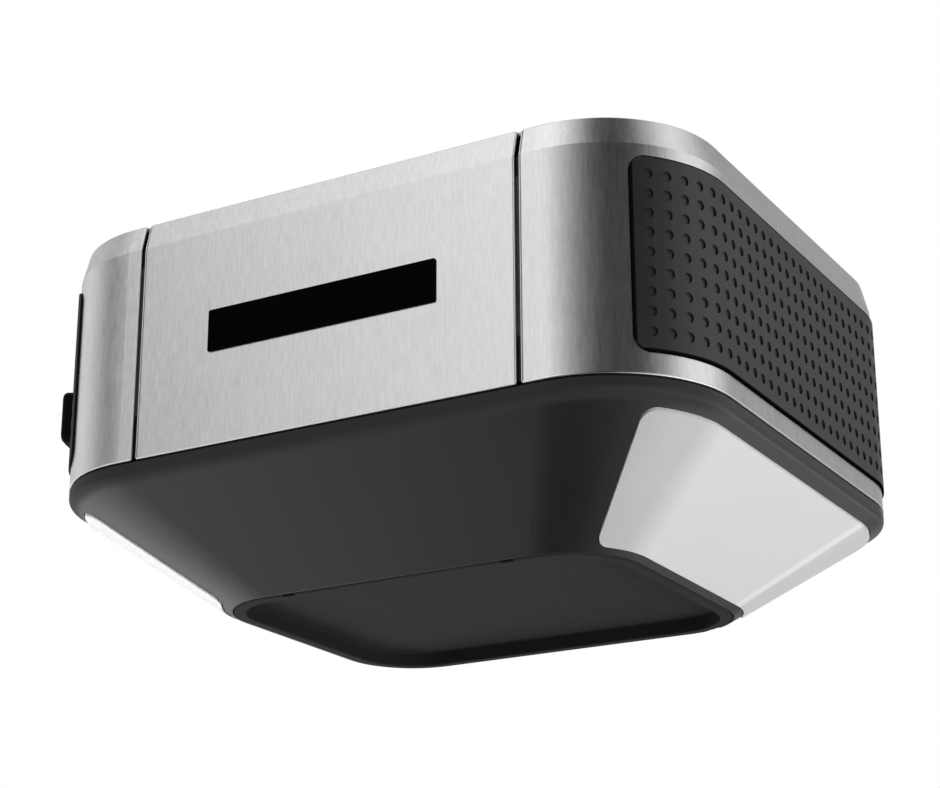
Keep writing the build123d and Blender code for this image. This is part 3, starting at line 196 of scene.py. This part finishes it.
def brushedShell():
    look = shellLook
    material, tree = newMaterial("brushedShell")
    fine = tree.noise(look["grain"], (1.0, 1.0, look["grain"] / look["length"]))
    broad = tree.noise(look["broad"], (1.0, 1.0, look["broadLean"]))
    cloud = tree.noise(look["cloud"], detail=1.0)
    tone = fine.swing(look["streak"]) + broad.swing(look["broadTone"]) + cloud.swing(look["cloudTone"])
    level = tone + look["colour"]
    colour = tree.node("ShaderNodeCombineColor", {}, {0: level, 1: level, 2: level})
    rough = fine.swing(look["fineRough"]) + broad.swing(look["broadRough"]) + look["rough"]
    surface(tree, colour=colour, rough=rough, metal=1.0,
            normal=tree.bump(fine, look["depth"], look["strength"]))
    return material


blackLook = {"pebbleEdge": 0.6, "cloud": 0.05, "spread": 0.14, "pebbleRough": 0.16, "cloudRough": 0.08,
             "strength": 0.6}
shoulderLook = {"foot": -0.1400, "top": -0.1368, "side": -0.090, "front": -0.122,
                "rise": 0.30}  # rougher along the front of the housing's shoulder


def mouldedBlack(name, level, rough, grain=0.0007, depth=0.00006, specular=0.5, band=None):
    look = blackLook
    material, tree = newMaterial(name)
    pebbles = tree.noise(grain, rough=look["pebbleEdge"])
    cloud = tree.noise(look["cloud"])
    sheen = pebbles.swing(look["pebbleRough"]) + cloud.swing(look["cloudRough"]) + rough
    if band:
        east, north, height = tree.axes()
        front = tree.slope(north, band["side"], band["front"])
        sheen = tree.slope(height, band["foot"], band["top"]) * front * band["rise"] + sheen
    surface(tree, colour=tree.around(cloud, level, look["spread"]), rough=sheen,
            normal=tree.bump(pebbles, depth, look["strength"]), specular=specular)
    return material


postLook = {"bottom": -0.1056, "top": -0.0240, "fade": 0.0015, "pale": 0.075, "dark": 0.004, "spread": 0.2,
            "grain": 0.0012, "lean": 0.2, "rough": 0.45, "grainRough": 0.2, "specular": 0.3, "depth": 0.00004,
            "strength": 0.4}


def seamPost():
    look = postLook
    material, tree = newMaterial("seamPost")
    east, north, height = tree.axes()
    # The post is painted near-black above and below its middle: painted shade where the seam gap runs deep.
    inner = tree.slope(height, look["bottom"], look["bottom"] + look["fade"])
    inner = inner * tree.slope(height, look["top"], look["top"] - look["fade"])
    grain = tree.noise(look["grain"], (1.0, 1.0, look["lean"]), detail=3.0)
    colour = tree.blend(inner, grey(look["dark"]), tree.around(grain, look["pale"], look["spread"]))
    surface(tree, colour=colour, rough=grain * look["grainRough"] + look["rough"], specular=look["specular"],
            normal=tree.bump(grain, look["depth"], look["strength"]))
    return material


grilleEdgeShadow = {"top": -0.0208, "bottom": -0.1173, "end": 0.1470, "topFade": (0.00042, 0.00084),
           "bottomFade": (0.0007, 0.0014), "endFade": (0.00028, 0.00084),
           "tone": 0.003}  # painted shadow along the grille's edges, where it meets the shell
grilleLook = {"pebbles": 0.0006, "cloud": 0.04, "dark": 0.009, "light": 0.013, "specular": 0.48,
              "rough": 0.44, "depth": 0.00005}


def dimpledBlack():
    look, edgeShadow = grilleLook, grilleEdgeShadow
    material, tree = newMaterial("dimpledBlack")
    east, north, height = tree.axes()
    inner = tree.slope(north.math("ABSOLUTE"), *(edgeShadow["end"] - fade for fade in edgeShadow["endFade"]))
    inner = inner * tree.slope(height, *(edgeShadow["bottom"] + fade for fade in edgeShadow["bottomFade"]))
    inner = inner * tree.slope(height, *(edgeShadow["top"] - fade for fade in edgeShadow["topFade"]))
    pebbles = tree.noise(look["pebbles"], rough=blackLook["pebbleEdge"])
    cloud = tree.noise(look["cloud"])
    sheen = pebbles.swing(blackLook["pebbleRough"]) + cloud.swing(blackLook["cloudRough"]) + look["rough"]
    face = coating(tree, colour=tree.blend(cloud, grey(look["dark"]), grey(look["light"])), rough=sheen,
                   specular=look["specular"], normal=tree.bump(pebbles, look["depth"], blackLook["strength"]))
    # A near-black diffuse coat at the grille's edges: painted shadow of the gap round the grille.
    edge = tree.node("ShaderNodeBsdfDiffuse", {}, {"Color": grey(edgeShadow["tone"])})
    mixed = tree.node("ShaderNodeMixShader", {}, {0: inner, 1: edge, 2: face})
    tree.node("ShaderNodeOutputMaterial", {}, {"Surface": mixed})
    return material


trayLook = {"floor": -0.1808, "lip": -0.1880, "floorFade": 0.0004, "lipFade": 0.0006, "pale": 0.021,
            "wall": 0.012, "spread": 0.2, "pebbles": 0.0008, "cloud": 0.04, "rough": 0.65, "specular": 0.05,
            "depth": 0.00006}


def trayBlack():
    look = trayLook
    material, tree = newMaterial("trayBlack")
    east, north, height = tree.axes()
    # The recess wall, between lip and floor, is painted darker than the floor: painted shade inside the
    # recess.
    wall = tree.slope(height, look["lip"], look["lip"] + look["lipFade"])
    wall = wall * tree.slope(height, look["floor"], look["floor"] - look["floorFade"])
    pebbles = tree.noise(look["pebbles"], rough=blackLook["pebbleEdge"])
    cloud = tree.noise(look["cloud"])
    face = tree.around(cloud * 0.5 + pebbles * 0.5, look["pale"], look["spread"])
    surface(tree, colour=tree.blend(wall, face, grey(look["wall"])), specular=look["specular"],
            rough=pebbles.swing(blackLook["pebbleRough"]) + look["rough"],
            normal=tree.bump(pebbles, look["depth"], blackLook["strength"]))
    return material


lensLook = {"reach": 0.15, "main": 0.535, "line": 0.66, "far": 0.50, "topLevel": -0.1355, "lean": 0.792,
            "cloud": 0.035, "cloudShare": 0.2, "share": 0.1, "mist": 0.6, "ripple": 0.006, "depth": 0.00003,
            "strength": 0.3, "rough": 0.30, "cloudRough": 0.08, "under": 0.15, "underScale": 0.004}


def milkyCover(name, corner):
    look = lensLook
    material, tree = newMaterial(name)
    east, north, height = tree.axes()
    fall = (height - look["topLevel"]) * look["lean"]
    along = (north.math("ABSOLUTE") - fall) * north.math("SIGN")  # constant along the taper's tangent lines
    width = 2 * look["reach"]
    # Painted light across the cover: painted shade on the front corner, a painted highlight line at the far
    # tangent and painted shade on the far band beyond it.
    stops = [(-0.112, corner), (-0.093, look["main"]), (0.090, look["main"]), (0.0925, look["line"]),
             (0.096, look["line"]), (0.099, look["far"])]
    depth = tree.ramp(along / width + 0.5, [(place / width + 0.5, tone) for place, tone in stops])
    cloud = tree.noise(look["cloud"])
    ripple = tree.noise(look["ripple"], detail=1.0)
    colour = tree.blend(cloud.swing(look["cloudShare"]) + look["share"], depth, grey(look["mist"]))
    surface(tree, colour=colour, rough=cloud.swing(look["cloudRough"]) + look["rough"], under=look["under"],
            underScale=look["underScale"], normal=tree.bump(ripple, look["depth"], look["strength"]))
    return material


plateLook = {"smear": 0.02, "lean": 0.35, "peel": 0.0025, "dark": 0.0008, "light": 0.0016, "rough": 0.36,
             "smearRough": 0.16, "specular": 0.01, "depth": 0.00002, "strength": 0.3}


def glossBlack():
    look = plateLook
    material, tree = newMaterial("glossBlack")
    smear = tree.noise(look["smear"], (look["lean"], 1.0, 1.0), detail=3.0)
    peel = tree.noise(look["peel"], detail=1.0)
    surface(tree, colour=tree.blend(smear, grey(look["dark"]), grey(look["light"])),
            specular=look["specular"], rough=smear.swing(look["smearRough"]) + look["rough"],
            normal=tree.bump(peel, look["depth"], look["strength"]))
    return material


zincLook = {"cells": 95.0, "rub": 0.012, "tone": 0.46, "flakeTone": 0.16, "rubTone": 0.10, "green": 1.01,
            "blue": 1.03, "rough": 0.28, "flakeRough": 0.12, "rubRough": 0.12, "depth": 0.00004,
            "strength": 0.3}


def galvanised():
    look = zincLook
    material, tree = newMaterial("galvanised")
    crystal = tree.node("ShaderNodeTexVoronoi", {}, {"Vector": tree.place(), "Scale": look["cells"],
                                                     "Randomness": 1.0}, out=1)
    flake = tree.node("ShaderNodeSeparateColor", {}, {0: crystal})
    rub = tree.noise(look["rub"], detail=3.0)
    level = flake * look["flakeTone"] + rub.swing(look["rubTone"]) + look["tone"]
    channels = {0: level, 1: level * look["green"], 2: level * look["blue"]}
    colour = tree.node("ShaderNodeCombineColor", {}, channels)
    surface(tree, colour=colour, rough=flake * look["flakeRough"] + rub * look["rubRough"] + look["rough"],
            metal=1.0, normal=tree.bump(rub, look["depth"], look["strength"]))
    return material


metalLook = {"scratch": 0.0009, "scratchEdge": 0.6, "scratchShare": 0.55, "scratchRough": 0.2, "stain": 0.014,
             "stainShare": 0.45, "stainRough": 0.1, "dark": 0.80, "light": 1.12, "depth": 0.00003,
             "strength": 0.4}
alongX = (0.12, 1.0, 1.0)  # scratches drawn out along X


def machined(name, tint, rough, lean=alongX):
    look = metalLook
    material, tree = newMaterial(name)
    scratch = tree.noise(look["scratch"], lean, detail=4.0, rough=look["scratchEdge"])
    stain = tree.noise(look["stain"])
    wear = scratch * look["scratchShare"] + stain * look["stainShare"]
    sheen = scratch.swing(look["scratchRough"]) + stain.swing(look["stainRough"]) + rough
    surface(tree, colour=tree.blend(wear, shade(tint, look["dark"]), shade(tint, look["light"])), rough=sheen,
            metal=1.0, normal=tree.bump(scratch, look["depth"], look["strength"]))
    return material


hemLook = {"bright": 0.93, "dim": 0.11, "corner": 0.121, "dark": 0.147, "side": 0.184, "front": -0.09,
           "rear": -0.05, "rough": 0.34}  # right foot edge, painted shade round the front corner


def cornerHem():
    look = hemLook
    material, tree = newMaterial("cornerHem")
    east, north, height = tree.axes()
    scratch = tree.noise(metalLook["scratch"], alongX, detail=4.0, rough=metalLook["scratchEdge"])
    # Painted shade: the bright hem's colour is turned dark round the front corner.
    cornerShade = tree.slope(east, look["corner"], look["dark"]) - tree.slope(east, look["dark"], look["side"])
    front = tree.slope(north, look["rear"], look["front"])
    surface(tree, colour=tree.blend(cornerShade * front, grey(look["bright"]), grey(look["dim"])), metal=1.0,
            rough=scratch.swing(metalLook["scratchRough"]) + look["rough"],
            normal=tree.bump(scratch, metalLook["depth"], metalLook["strength"]))
    return material


castLook = {"grain": 0.0013, "grainEdge": 0.7, "cloud": 0.03, "cloudShare": 0.6, "grainShare": 0.4,
            "dark": 0.42, "light": 0.60, "rough": 0.48, "grainRough": 0.2, "depth": 0.00018, "strength": 0.7}


def castAlloy():
    look = castLook
    material, tree = newMaterial("castAlloy")
    grain = tree.noise(look["grain"], detail=3.0, rough=look["grainEdge"])
    cloud = tree.noise(look["cloud"])
    mottle = cloud * look["cloudShare"] + grain * look["grainShare"]
    surface(tree, colour=tree.blend(mottle, grey(look["dark"]), grey(look["light"])), metal=1.0,
            rough=grain.swing(look["grainRough"]) + look["rough"],
            normal=tree.bump(grain, look["depth"], look["strength"]))
    return material


copperLook = {"turns": 330.0, "waver": 0.6, "varnish": 0.008, "turnShare": 0.7, "varnishShare": 0.3,
              "dark": (0.20, 0.065, 0.022, 1.0), "light": (0.62, 0.25, 0.10, 1.0), "rough": 0.36,
              "varnishRough": 0.2, "metal": 0.8, "depth": 0.0002, "strength": 0.8}


def woundCopper():
    look = copperLook
    material, tree = newMaterial("woundCopper")
    turns = tree.node("ShaderNodeTexWave", {"wave_type": "BANDS", "bands_direction": "Z"},
                      {"Vector": tree.place(), "Scale": look["turns"], "Distortion": look["waver"],
                       "Detail": 1.0})
    varnish = tree.noise(look["varnish"])
    wear = turns * look["turnShare"] + varnish * look["varnishShare"]
    surface(tree, colour=tree.blend(wear, look["dark"], look["light"]), metal=look["metal"],
            rough=varnish.swing(look["varnishRough"]) + look["rough"],
            normal=tree.bump(turns, look["depth"], look["strength"]))
    return material


boardLook = {"traces": 240.0, "gap": 0.06, "mask": 0.02, "lineShare": 0.6, "maskShare": 0.2,
             "dark": (0.010, 0.075, 0.028, 1.0), "light": (0.06, 0.26, 0.10, 1.0), "rough": 0.30,
             "maskRough": 0.14, "depth": 0.00005, "strength": 0.5}


def circuitBoard():
    look = boardLook
    material, tree = newMaterial("circuitBoard")
    flat = tree.place(turn=(0.0, radians(90.0), 0.0))
    traces = tree.node("ShaderNodeTexBrick", {"offset": 0.5, "squash": 0.6},
                       {"Vector": flat, "Scale": look["traces"], "Mortar Size": look["gap"],
                        "Color1": grey(0.0), "Color2": grey(0.25), "Mortar": grey(1.0)})
    lines = tree.node("ShaderNodeSeparateColor", {}, {0: traces})
    mask = tree.noise(look["mask"])
    wear = lines * look["lineShare"] + mask * look["maskShare"]
    surface(tree, colour=tree.blend(wear, look["dark"], look["light"]),
            rough=mask * look["maskRough"] + look["rough"],
            normal=tree.bump(lines, look["depth"], look["strength"]))
    return material


colourLook = {"pebbles": 0.0006, "pebbleRough": 0.14, "cloud": 0.012, "dark": 0.88, "light": 1.08,
              "depth": 0.00004, "strength": 0.4}


def mouldedColour(name, tint, rough):
    look = colourLook
    material, tree = newMaterial(name)
    pebbles = tree.noise(look["pebbles"])
    cloud = tree.noise(look["cloud"])
    surface(tree, colour=tree.blend(cloud, shade(tint, look["dark"]), shade(tint, look["light"])),
            rough=pebbles.swing(look["pebbleRough"]) + rough,
            normal=tree.bump(pebbles, look["depth"], look["strength"]))
    return material


finishes = {
    "brushedShell": brushedShell(),
    "housingBlack": mouldedBlack("housingBlack", 0.008, 0.36, band=shoulderLook),
    "trayBlack": trayBlack(),
    "dimpledBlack": dimpledBlack(),
    "panelBlack": mouldedBlack("panelBlack", 0.013, 0.60, specular=0.10),
    "podBlack": mouldedBlack("podBlack", 0.006, 0.65, specular=0.06),
    "sealBlack": mouldedBlack("sealBlack", 0.010, 0.75, 0.0011, 0.00012),
    "fittingBlack": mouldedBlack("fittingBlack", 0.020, 0.52, 0.0009),
    "seamPost": seamPost(),
    # The two covers differ only in their painted corner tone: painted shade on the right cover, painted light
    # on the left cover.
    "milkyRight": milkyCover("milkyRight", 0.38),
    "milkyLeft": milkyCover("milkyLeft", 0.92),
    "glossBlack": glossBlack(),
    "galvanised": galvanised(),
    "zincSteel": machined("zincSteel", (0.52, 0.52, 0.50), 0.32),
    "turnedSteel": machined("turnedSteel", (0.56, 0.56, 0.55), 0.24, (1.0, 1.0, 0.2)),
    "laminatedSteel": machined("laminatedSteel", (0.30, 0.29, 0.28), 0.42, (1.0, 0.08, 1.0)),
    "castAlloy": castAlloy(),
    "nylonGear": mouldedColour("nylonGear", (0.72, 0.69, 0.60), 0.42),
    "sinteredBronze": machined("sinteredBronze", (0.50, 0.33, 0.15), 0.45, (1.0, 1.0, 1.0)),
    "woundCopper": woundCopper(),
    "ferrite": mouldedBlack("ferrite", 0.035, 0.55, 0.0012, 0.00015),
    "circuitBoard": circuitBoard(),
    "lightChip": mouldedColour("lightChip", (0.82, 0.74, 0.36), 0.35),
    "keyGrey": mouldedColour("keyGrey", (0.26, 0.26, 0.27), 0.46),
    "keyYellow": mouldedColour("keyYellow", (0.72, 0.47, 0.03), 0.36),
    "terminalGrey": mouldedColour("terminalGrey", (0.30, 0.30, 0.31), 0.45),
    "markWhite": mouldedColour("markWhite", (0.70, 0.70, 0.68), 0.40),
    "brightHem": machined("brightHem", (0.86, 0.86, 0.86), 0.34),
    "cornerHem": cornerHem(),
}

wears = {
    "brushedShell": ["front_cover", "rear_cover", "right_end_cap", "left_end_cap"],
    "housingBlack": ["lower_housing"],
    "trayBlack": ["bottom_cover"],
    "dimpledBlack": ["right_grille"],
    "panelBlack": ["left_panel"],
    "seamPost": ["seam_posts"],
    "podBlack": ["control_pod"],
    "sealBlack": ["seam_gasket", "isolation_mounts"],
    "fittingBlack": ["sprocket_cover", "power_gland", "tact_switches", "board_components",
                     "board_standoffs", "speed_sensor", "motor_end_cap", "speed_disc"],
    "milkyRight": ["right_lens"],
    "milkyLeft": ["left_lens"],
    "glossBlack": ["blank_plate"],
    "galvanised": ["top_chassis", "rail_bracket", "motor_can", "right_led_bracket", "left_led_bracket"],
    "zincSteel": ["weld_nuts", "chassis_screws", "housing_screws", "gearbox_bolts", "sprocket_clip",
                  "cover_hinge_pins", "drive_sprocket"],
    "turnedSteel": ["output_shaft", "motor_shaft", "worm"],
    "laminatedSteel": ["armature", "transformer_core"],
    "castAlloy": ["gearbox_case", "gearbox_lid"],
    "nylonGear": ["worm_wheel"],
    "sinteredBronze": ["output_bushes", "motor_bearings"],
    "woundCopper": ["armature_windings", "commutator", "transformer_winding"],
    "ferrite": ["motor_magnets", "carbon_brushes"],
    "circuitBoard": ["logic_board", "control_board", "right_led_board", "left_led_board"],
    "lightChip": ["right_leds", "left_leds"],
    "keyGrey": ["up_button", "down_button"],
    "keyYellow": ["learn_button"],
    "terminalGrey": ["terminal_block"],
}

for finishName, members in wears.items():
    for member in members:
        slots = nodes[member].data.materials
        slots.clear()
        slots.append(finishes[finishName])
dressed = {member for members in wears.values() for member in members}
print("finishes worn, bare nodes:", sorted(set(nodes) - dressed))


# Pieces the solids leave plain
smoothAngle = 35


def fresh():
    bpy.ops.object.select_all(action="DESELECT")


def pick(piece):
    fresh()
    piece.select_set(True)
    bpy.context.view_layer.objects.active = piece


def keepMesh(piece, name, finishName, body):
    pick(piece)
    bpy.ops.object.transform_apply(location=True, rotation=True, scale=True)
    bpy.ops.object.shade_smooth_by_angle(angle=radians(smoothAngle))
    piece.name = name
    piece.data.name = name
    piece.data.materials.clear()
    piece.data.materials.append(finishes[finishName])
    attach(piece, body)


hem = {"length": 370 * mm, "width": 322 * mm, "corner": 66 * mm, "level": -128.15 * mm, "bead": 0.6 * mm,
       "inset": 0.40 * mm, "seam": 109.4 * mm,
       "gap": 1.9 * mm}  # bright turned edge along the foot of the shells


def hemLoop():
    fresh()
    bpy.ops.mesh.primitive_plane_add(size=1.0, location=(0, 0, hem["level"]))
    loop = bpy.context.object
    loop.scale = (hem["length"] - 2 * hem["inset"], hem["width"] - 2 * hem["inset"], 1.0)
    bpy.ops.object.transform_apply(location=True, rotation=True, scale=True)
    bpy.ops.object.mode_set(mode="EDIT")
    bpy.ops.mesh.select_all(action="SELECT")
    bpy.ops.mesh.bevel(offset=hem["corner"] - hem["inset"], segments=20, affect="VERTICES")
    bpy.ops.mesh.select_all(action="SELECT")
    bpy.ops.mesh.delete(type="ONLY_FACE")
    bpy.ops.object.mode_set(mode="OBJECT")
    bpy.ops.object.convert(target="CURVE")
    loop = bpy.context.object
    loop.data.bevel_depth = hem["bead"]
    loop.data.bevel_resolution = 2
    bpy.ops.object.convert(target="MESH")
    return bpy.context.object


def keepSide(piece, x, normal):
    pick(piece)
    bpy.ops.object.mode_set(mode="EDIT")
    bpy.ops.mesh.select_all(action="SELECT")
    bpy.ops.mesh.bisect(plane_co=(x, 0, 0), plane_no=(normal, 0, 0), use_fill=True, clear_inner=True)
    bpy.ops.object.mode_set(mode="OBJECT")


hemRuns = {
    "rightHem": {"finish": "cornerHem", "cuts": [(hem["seam"] + hem["gap"], 1)]},
    "leftHem": {"finish": "brightHem", "cuts": [(-hem["seam"] - hem["gap"], -1)]},
    "centreHems": {"finish": "brightHem", "cuts": [(-hem["seam"] + hem["gap"], 1),
                                                      (hem["seam"] - hem["gap"], -1)]},
}
for hemName, run in hemRuns.items():
    bead = hemLoop()
    for cutX, cutNormal in run["cuts"]:
        keepSide(bead, cutX, cutNormal)
    keepMesh(bead, hemName, run["finish"], "head")
print("hems laid")

seamBead = {"offset": 1.6 * mm, "wire": 0.45 * mm, "foot": -128 * mm, "bend": -14.5 * mm, "top": -0.8 * mm,
            "wallY": 160.7 * mm, "topY": 157.4 * mm}  # turned edges of the shells along the seams


def seamWire(x, side):
    fresh()
    middle = (seamBead["bend"] + seamBead["foot"]) / 2
    bpy.ops.mesh.primitive_cylinder_add(vertices=12, radius=seamBead["wire"],
                                        depth=seamBead["bend"] - seamBead["foot"],
                                        location=(x, side * seamBead["wallY"], middle))
    wire = bpy.context.object
    bpy.ops.object.transform_apply(location=True, rotation=True, scale=True)
    bpy.ops.object.mode_set(mode="EDIT")
    bpy.context.tool_settings.mesh_select_mode = (False, False, True)
    bpy.ops.mesh.select_all(action="DESELECT")
    bpy.ops.object.mode_set(mode="OBJECT")
    for face in wire.data.polygons:
        face.select = face.normal.z > 0.5
    bpy.ops.object.mode_set(mode="EDIT")
    step = (0, side * (seamBead["topY"] - seamBead["wallY"]), seamBead["top"] - seamBead["bend"])
    bpy.ops.mesh.extrude_region_move(TRANSFORM_OT_translate={"value": step})
    bpy.ops.object.mode_set(mode="OBJECT")
    return wire


for seamSide, seamName in ((-1, "frontSeamEdges"), (1, "rearSeamEdges")):
    wires = [seamWire(end * (hem["seam"] + lean * seamBead["offset"]), seamSide)
             for end in (-1, 1) for lean in (-1, 1)]
    fresh()
    for wire in wires:
        wire.select_set(True)
    bpy.context.view_layer.objects.active = wires[0]
    bpy.ops.object.join()
    keepMesh(wires[0], seamName, "brightHem", "head")
print("seam edges laid")

marks = {"radius": 2.7 * mm, "raise": 0.25 * mm, "edge": 0.1 * mm, "ring": 2.592 * mm,
         "wire": 0.35 * mm}  # signs on the keys


def keyFace(node):
    low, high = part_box(node)
    return low[0], (low[1] + high[1]) / 2, (low[2] + high[2]) / 2


def arrowMark(node, name, body, turn):
    fresh()
    bpy.ops.mesh.primitive_cylinder_add(vertices=3, radius=marks["radius"], depth=2 * marks["raise"],
                                        location=keyFace(node), rotation=(radians(turn), 0, radians(-90)))
    arrow = bpy.context.object
    bpy.ops.object.transform_apply(location=False, rotation=True, scale=True)
    bpy.ops.object.mode_set(mode="EDIT")
    bpy.ops.mesh.select_all(action="SELECT")
    bpy.ops.mesh.bevel(offset=marks["edge"], segments=2)
    bpy.ops.object.mode_set(mode="OBJECT")
    keepMesh(arrow, name, "markWhite", body)


def learnRing():
    fresh()
    bpy.ops.mesh.primitive_torus_add(major_segments=40, minor_segments=10, major_radius=marks["ring"],
                                     minor_radius=marks["wire"], location=keyFace("learn_button"),
                                     rotation=(0, radians(90), 0))
    keepMesh(bpy.context.object, "learnRing", "keyGrey", "learn_key")


arrowMark("up_button", "upMark", "up_key", 90)
arrowMark("down_button", "downMark", "down_key", -90)
learnRing()
print("key signs set")

# Studio: world, floor and lamps
studio = {
    "floorDrop": -2.2,
    "floorSize": 12.0,
    "floorSpeck": 0.4,
    "floorDark": 0.78,
    "floorLight": 0.84,
    "floorShown": 0.95,
    "floorGlow": 0.6,
    "skyStrength": 2.0,
    "skyAmbient": 0.30,
    "skyShown": 1.0,
    "upward": (0.36, 0.62),
    "downward": (-0.12, -0.40),
    "level": [(-180, 0.62), (-125, 0.62), (-92, 0.95), (-72, 0.60), (-56, 0.17), (-42, 0.30), (-28, 1.24),
              (-17, 1.08), (-4, 0.45), (10, 0.16), (25, 0.05), (60, 0.05), (80, 0.30), (96, 1.05),
              (124, 1.15), (142, 0.60), (158, 0.34),
              (180, 0.50)],  # mirrored tones by direction, in degrees from the front
    "above": [(-180, 0.45), (-90, 0.60), (-62, 0.50), (-55, 0.56), (-47, 1.02), (-40, 1.42), (-24, 1.50),
              (-8, 1.05), (8, 0.48), (22, 0.03), (60, 0.03), (85, 0.60), (105, 1.25), (130, 0.75),
              (150, 0.38), (180, 0.38)],
    "below": [(0.0, 1.6), (0.16, 1.30), (0.23, 0.95), (0.28, 0.14), (0.31, 0.0), (0.55, 0.0), (0.59, 0.5),
              (0.63, 1.5), (1.0, 1.6)],  # from left to right
}


def makeWorld():
    world = bpy.data.worlds.new("studioWorld")
    scene.world = world
    tree = Tree(world)
    strength = studio["skyStrength"]
    east, north, rise = tree.axes("Generated")
    turn = east.math("ARCTAN2", north * -1.0) / (2 * pi) + 0.5
    level, above = (tree.ramp(turn, [((place + 180) / 360, tone / strength) for place, tone in studio[key]])
                    for key in ("level", "above"))
    below = tree.ramp(east * 0.5 + 0.5, [(place, tone / strength) for place, tone in studio["below"]])
    upward = tree.slope(rise, *studio["upward"])
    downward = tree.slope(rise, *studio["downward"])
    bands = tree.blend(downward, tree.blend(upward, level, above), below)
    path = tree.node("ShaderNodeLightPath")
    ray = {output.name: Sock(tree, output) for output in path.socket.node.outputs}
    seen = ray["Is Camera Ray"].math("MAXIMUM", ray["Is Transmission Ray"])
    mirrored = tree.blend(ray["Is Glossy Ray"], grey(studio["skyAmbient"] / strength), bands)
    shown = tree.blend(seen, mirrored, grey(studio["skyShown"] / strength))
    sky = tree.node("ShaderNodeBackground", {}, {"Color": shown, "Strength": strength})
    tree.node("ShaderNodeOutputWorld", {}, {"Surface": sky})


def makeFloor():
    fresh()
    bpy.ops.mesh.primitive_plane_add(size=studio["floorSize"], location=(0, 0, studio["floorDrop"]))
    floor = bpy.context.object
    floor.name = "studioFloor"
    material, tree = newMaterial("paleFloor")
    tone = tree.blend(tree.noise(studio["floorSpeck"]), grey(studio["floorDark"]), grey(studio["floorLight"]))
    matt = tree.node("ShaderNodeBsdfDiffuse", {}, {"Color": tone})
    glow = tree.node("ShaderNodeEmission", {}, {"Color": grey(studio["floorShown"]), "Strength": 1.0})
    seen = tree.node("ShaderNodeLightPath", out="Is Camera Ray")
    mixed = tree.node("ShaderNodeMixShader", {}, {0: seen * studio["floorGlow"], 1: matt, 2: glow})
    tree.node("ShaderNodeOutputMaterial", {}, {"Surface": mixed})
    floor.data.materials.append(material)
    floor.visible_glossy = False


lamps = {
    "keyLamp": {"place": (-1.6, -2.2, -0.2), "aim": (0, 0, -0.1), "size": 1.6, "power": 7.0},
    "rightLamp": {"place": (2.6, -0.5, -0.9), "aim": (0.1, 0, -0.1), "size": 1.4, "power": 60.0},
    "underLamp": {"place": (0.3, -0.8, -1.9), "aim": (0, 0, -0.1), "size": 1.6, "power": 6.0},
    "leftLamp": {"place": (-2.4, 0.5, -1.3), "aim": (-0.1, 0, -0.15), "size": 1.4, "power": 48.0},
    "topLamp": {"place": (0.3, 0.4, 2.4), "aim": (0, 0, 0), "size": 2.0, "power": 50.0},
}


def makeLamp(name, lamp):
    data = bpy.data.lights.new(name, "AREA")
    data.shape = "DISK"
    data.size = lamp["size"]
    data.energy = lamp["power"]
    holder = bpy.data.objects.new(name, data)
    holder.location = lamp["place"]
    aim = Vector(lamp["aim"]) - Vector(lamp["place"])
    holder.rotation_euler = aim.to_track_quat("-Z", "Y").to_euler()
    holder.visible_glossy = False
    scene.collection.objects.link(holder)


makeWorld()
makeFloor()
for lampName, lampFacts in lamps.items():
    makeLamp(lampName, lampFacts)
print("studio lit")
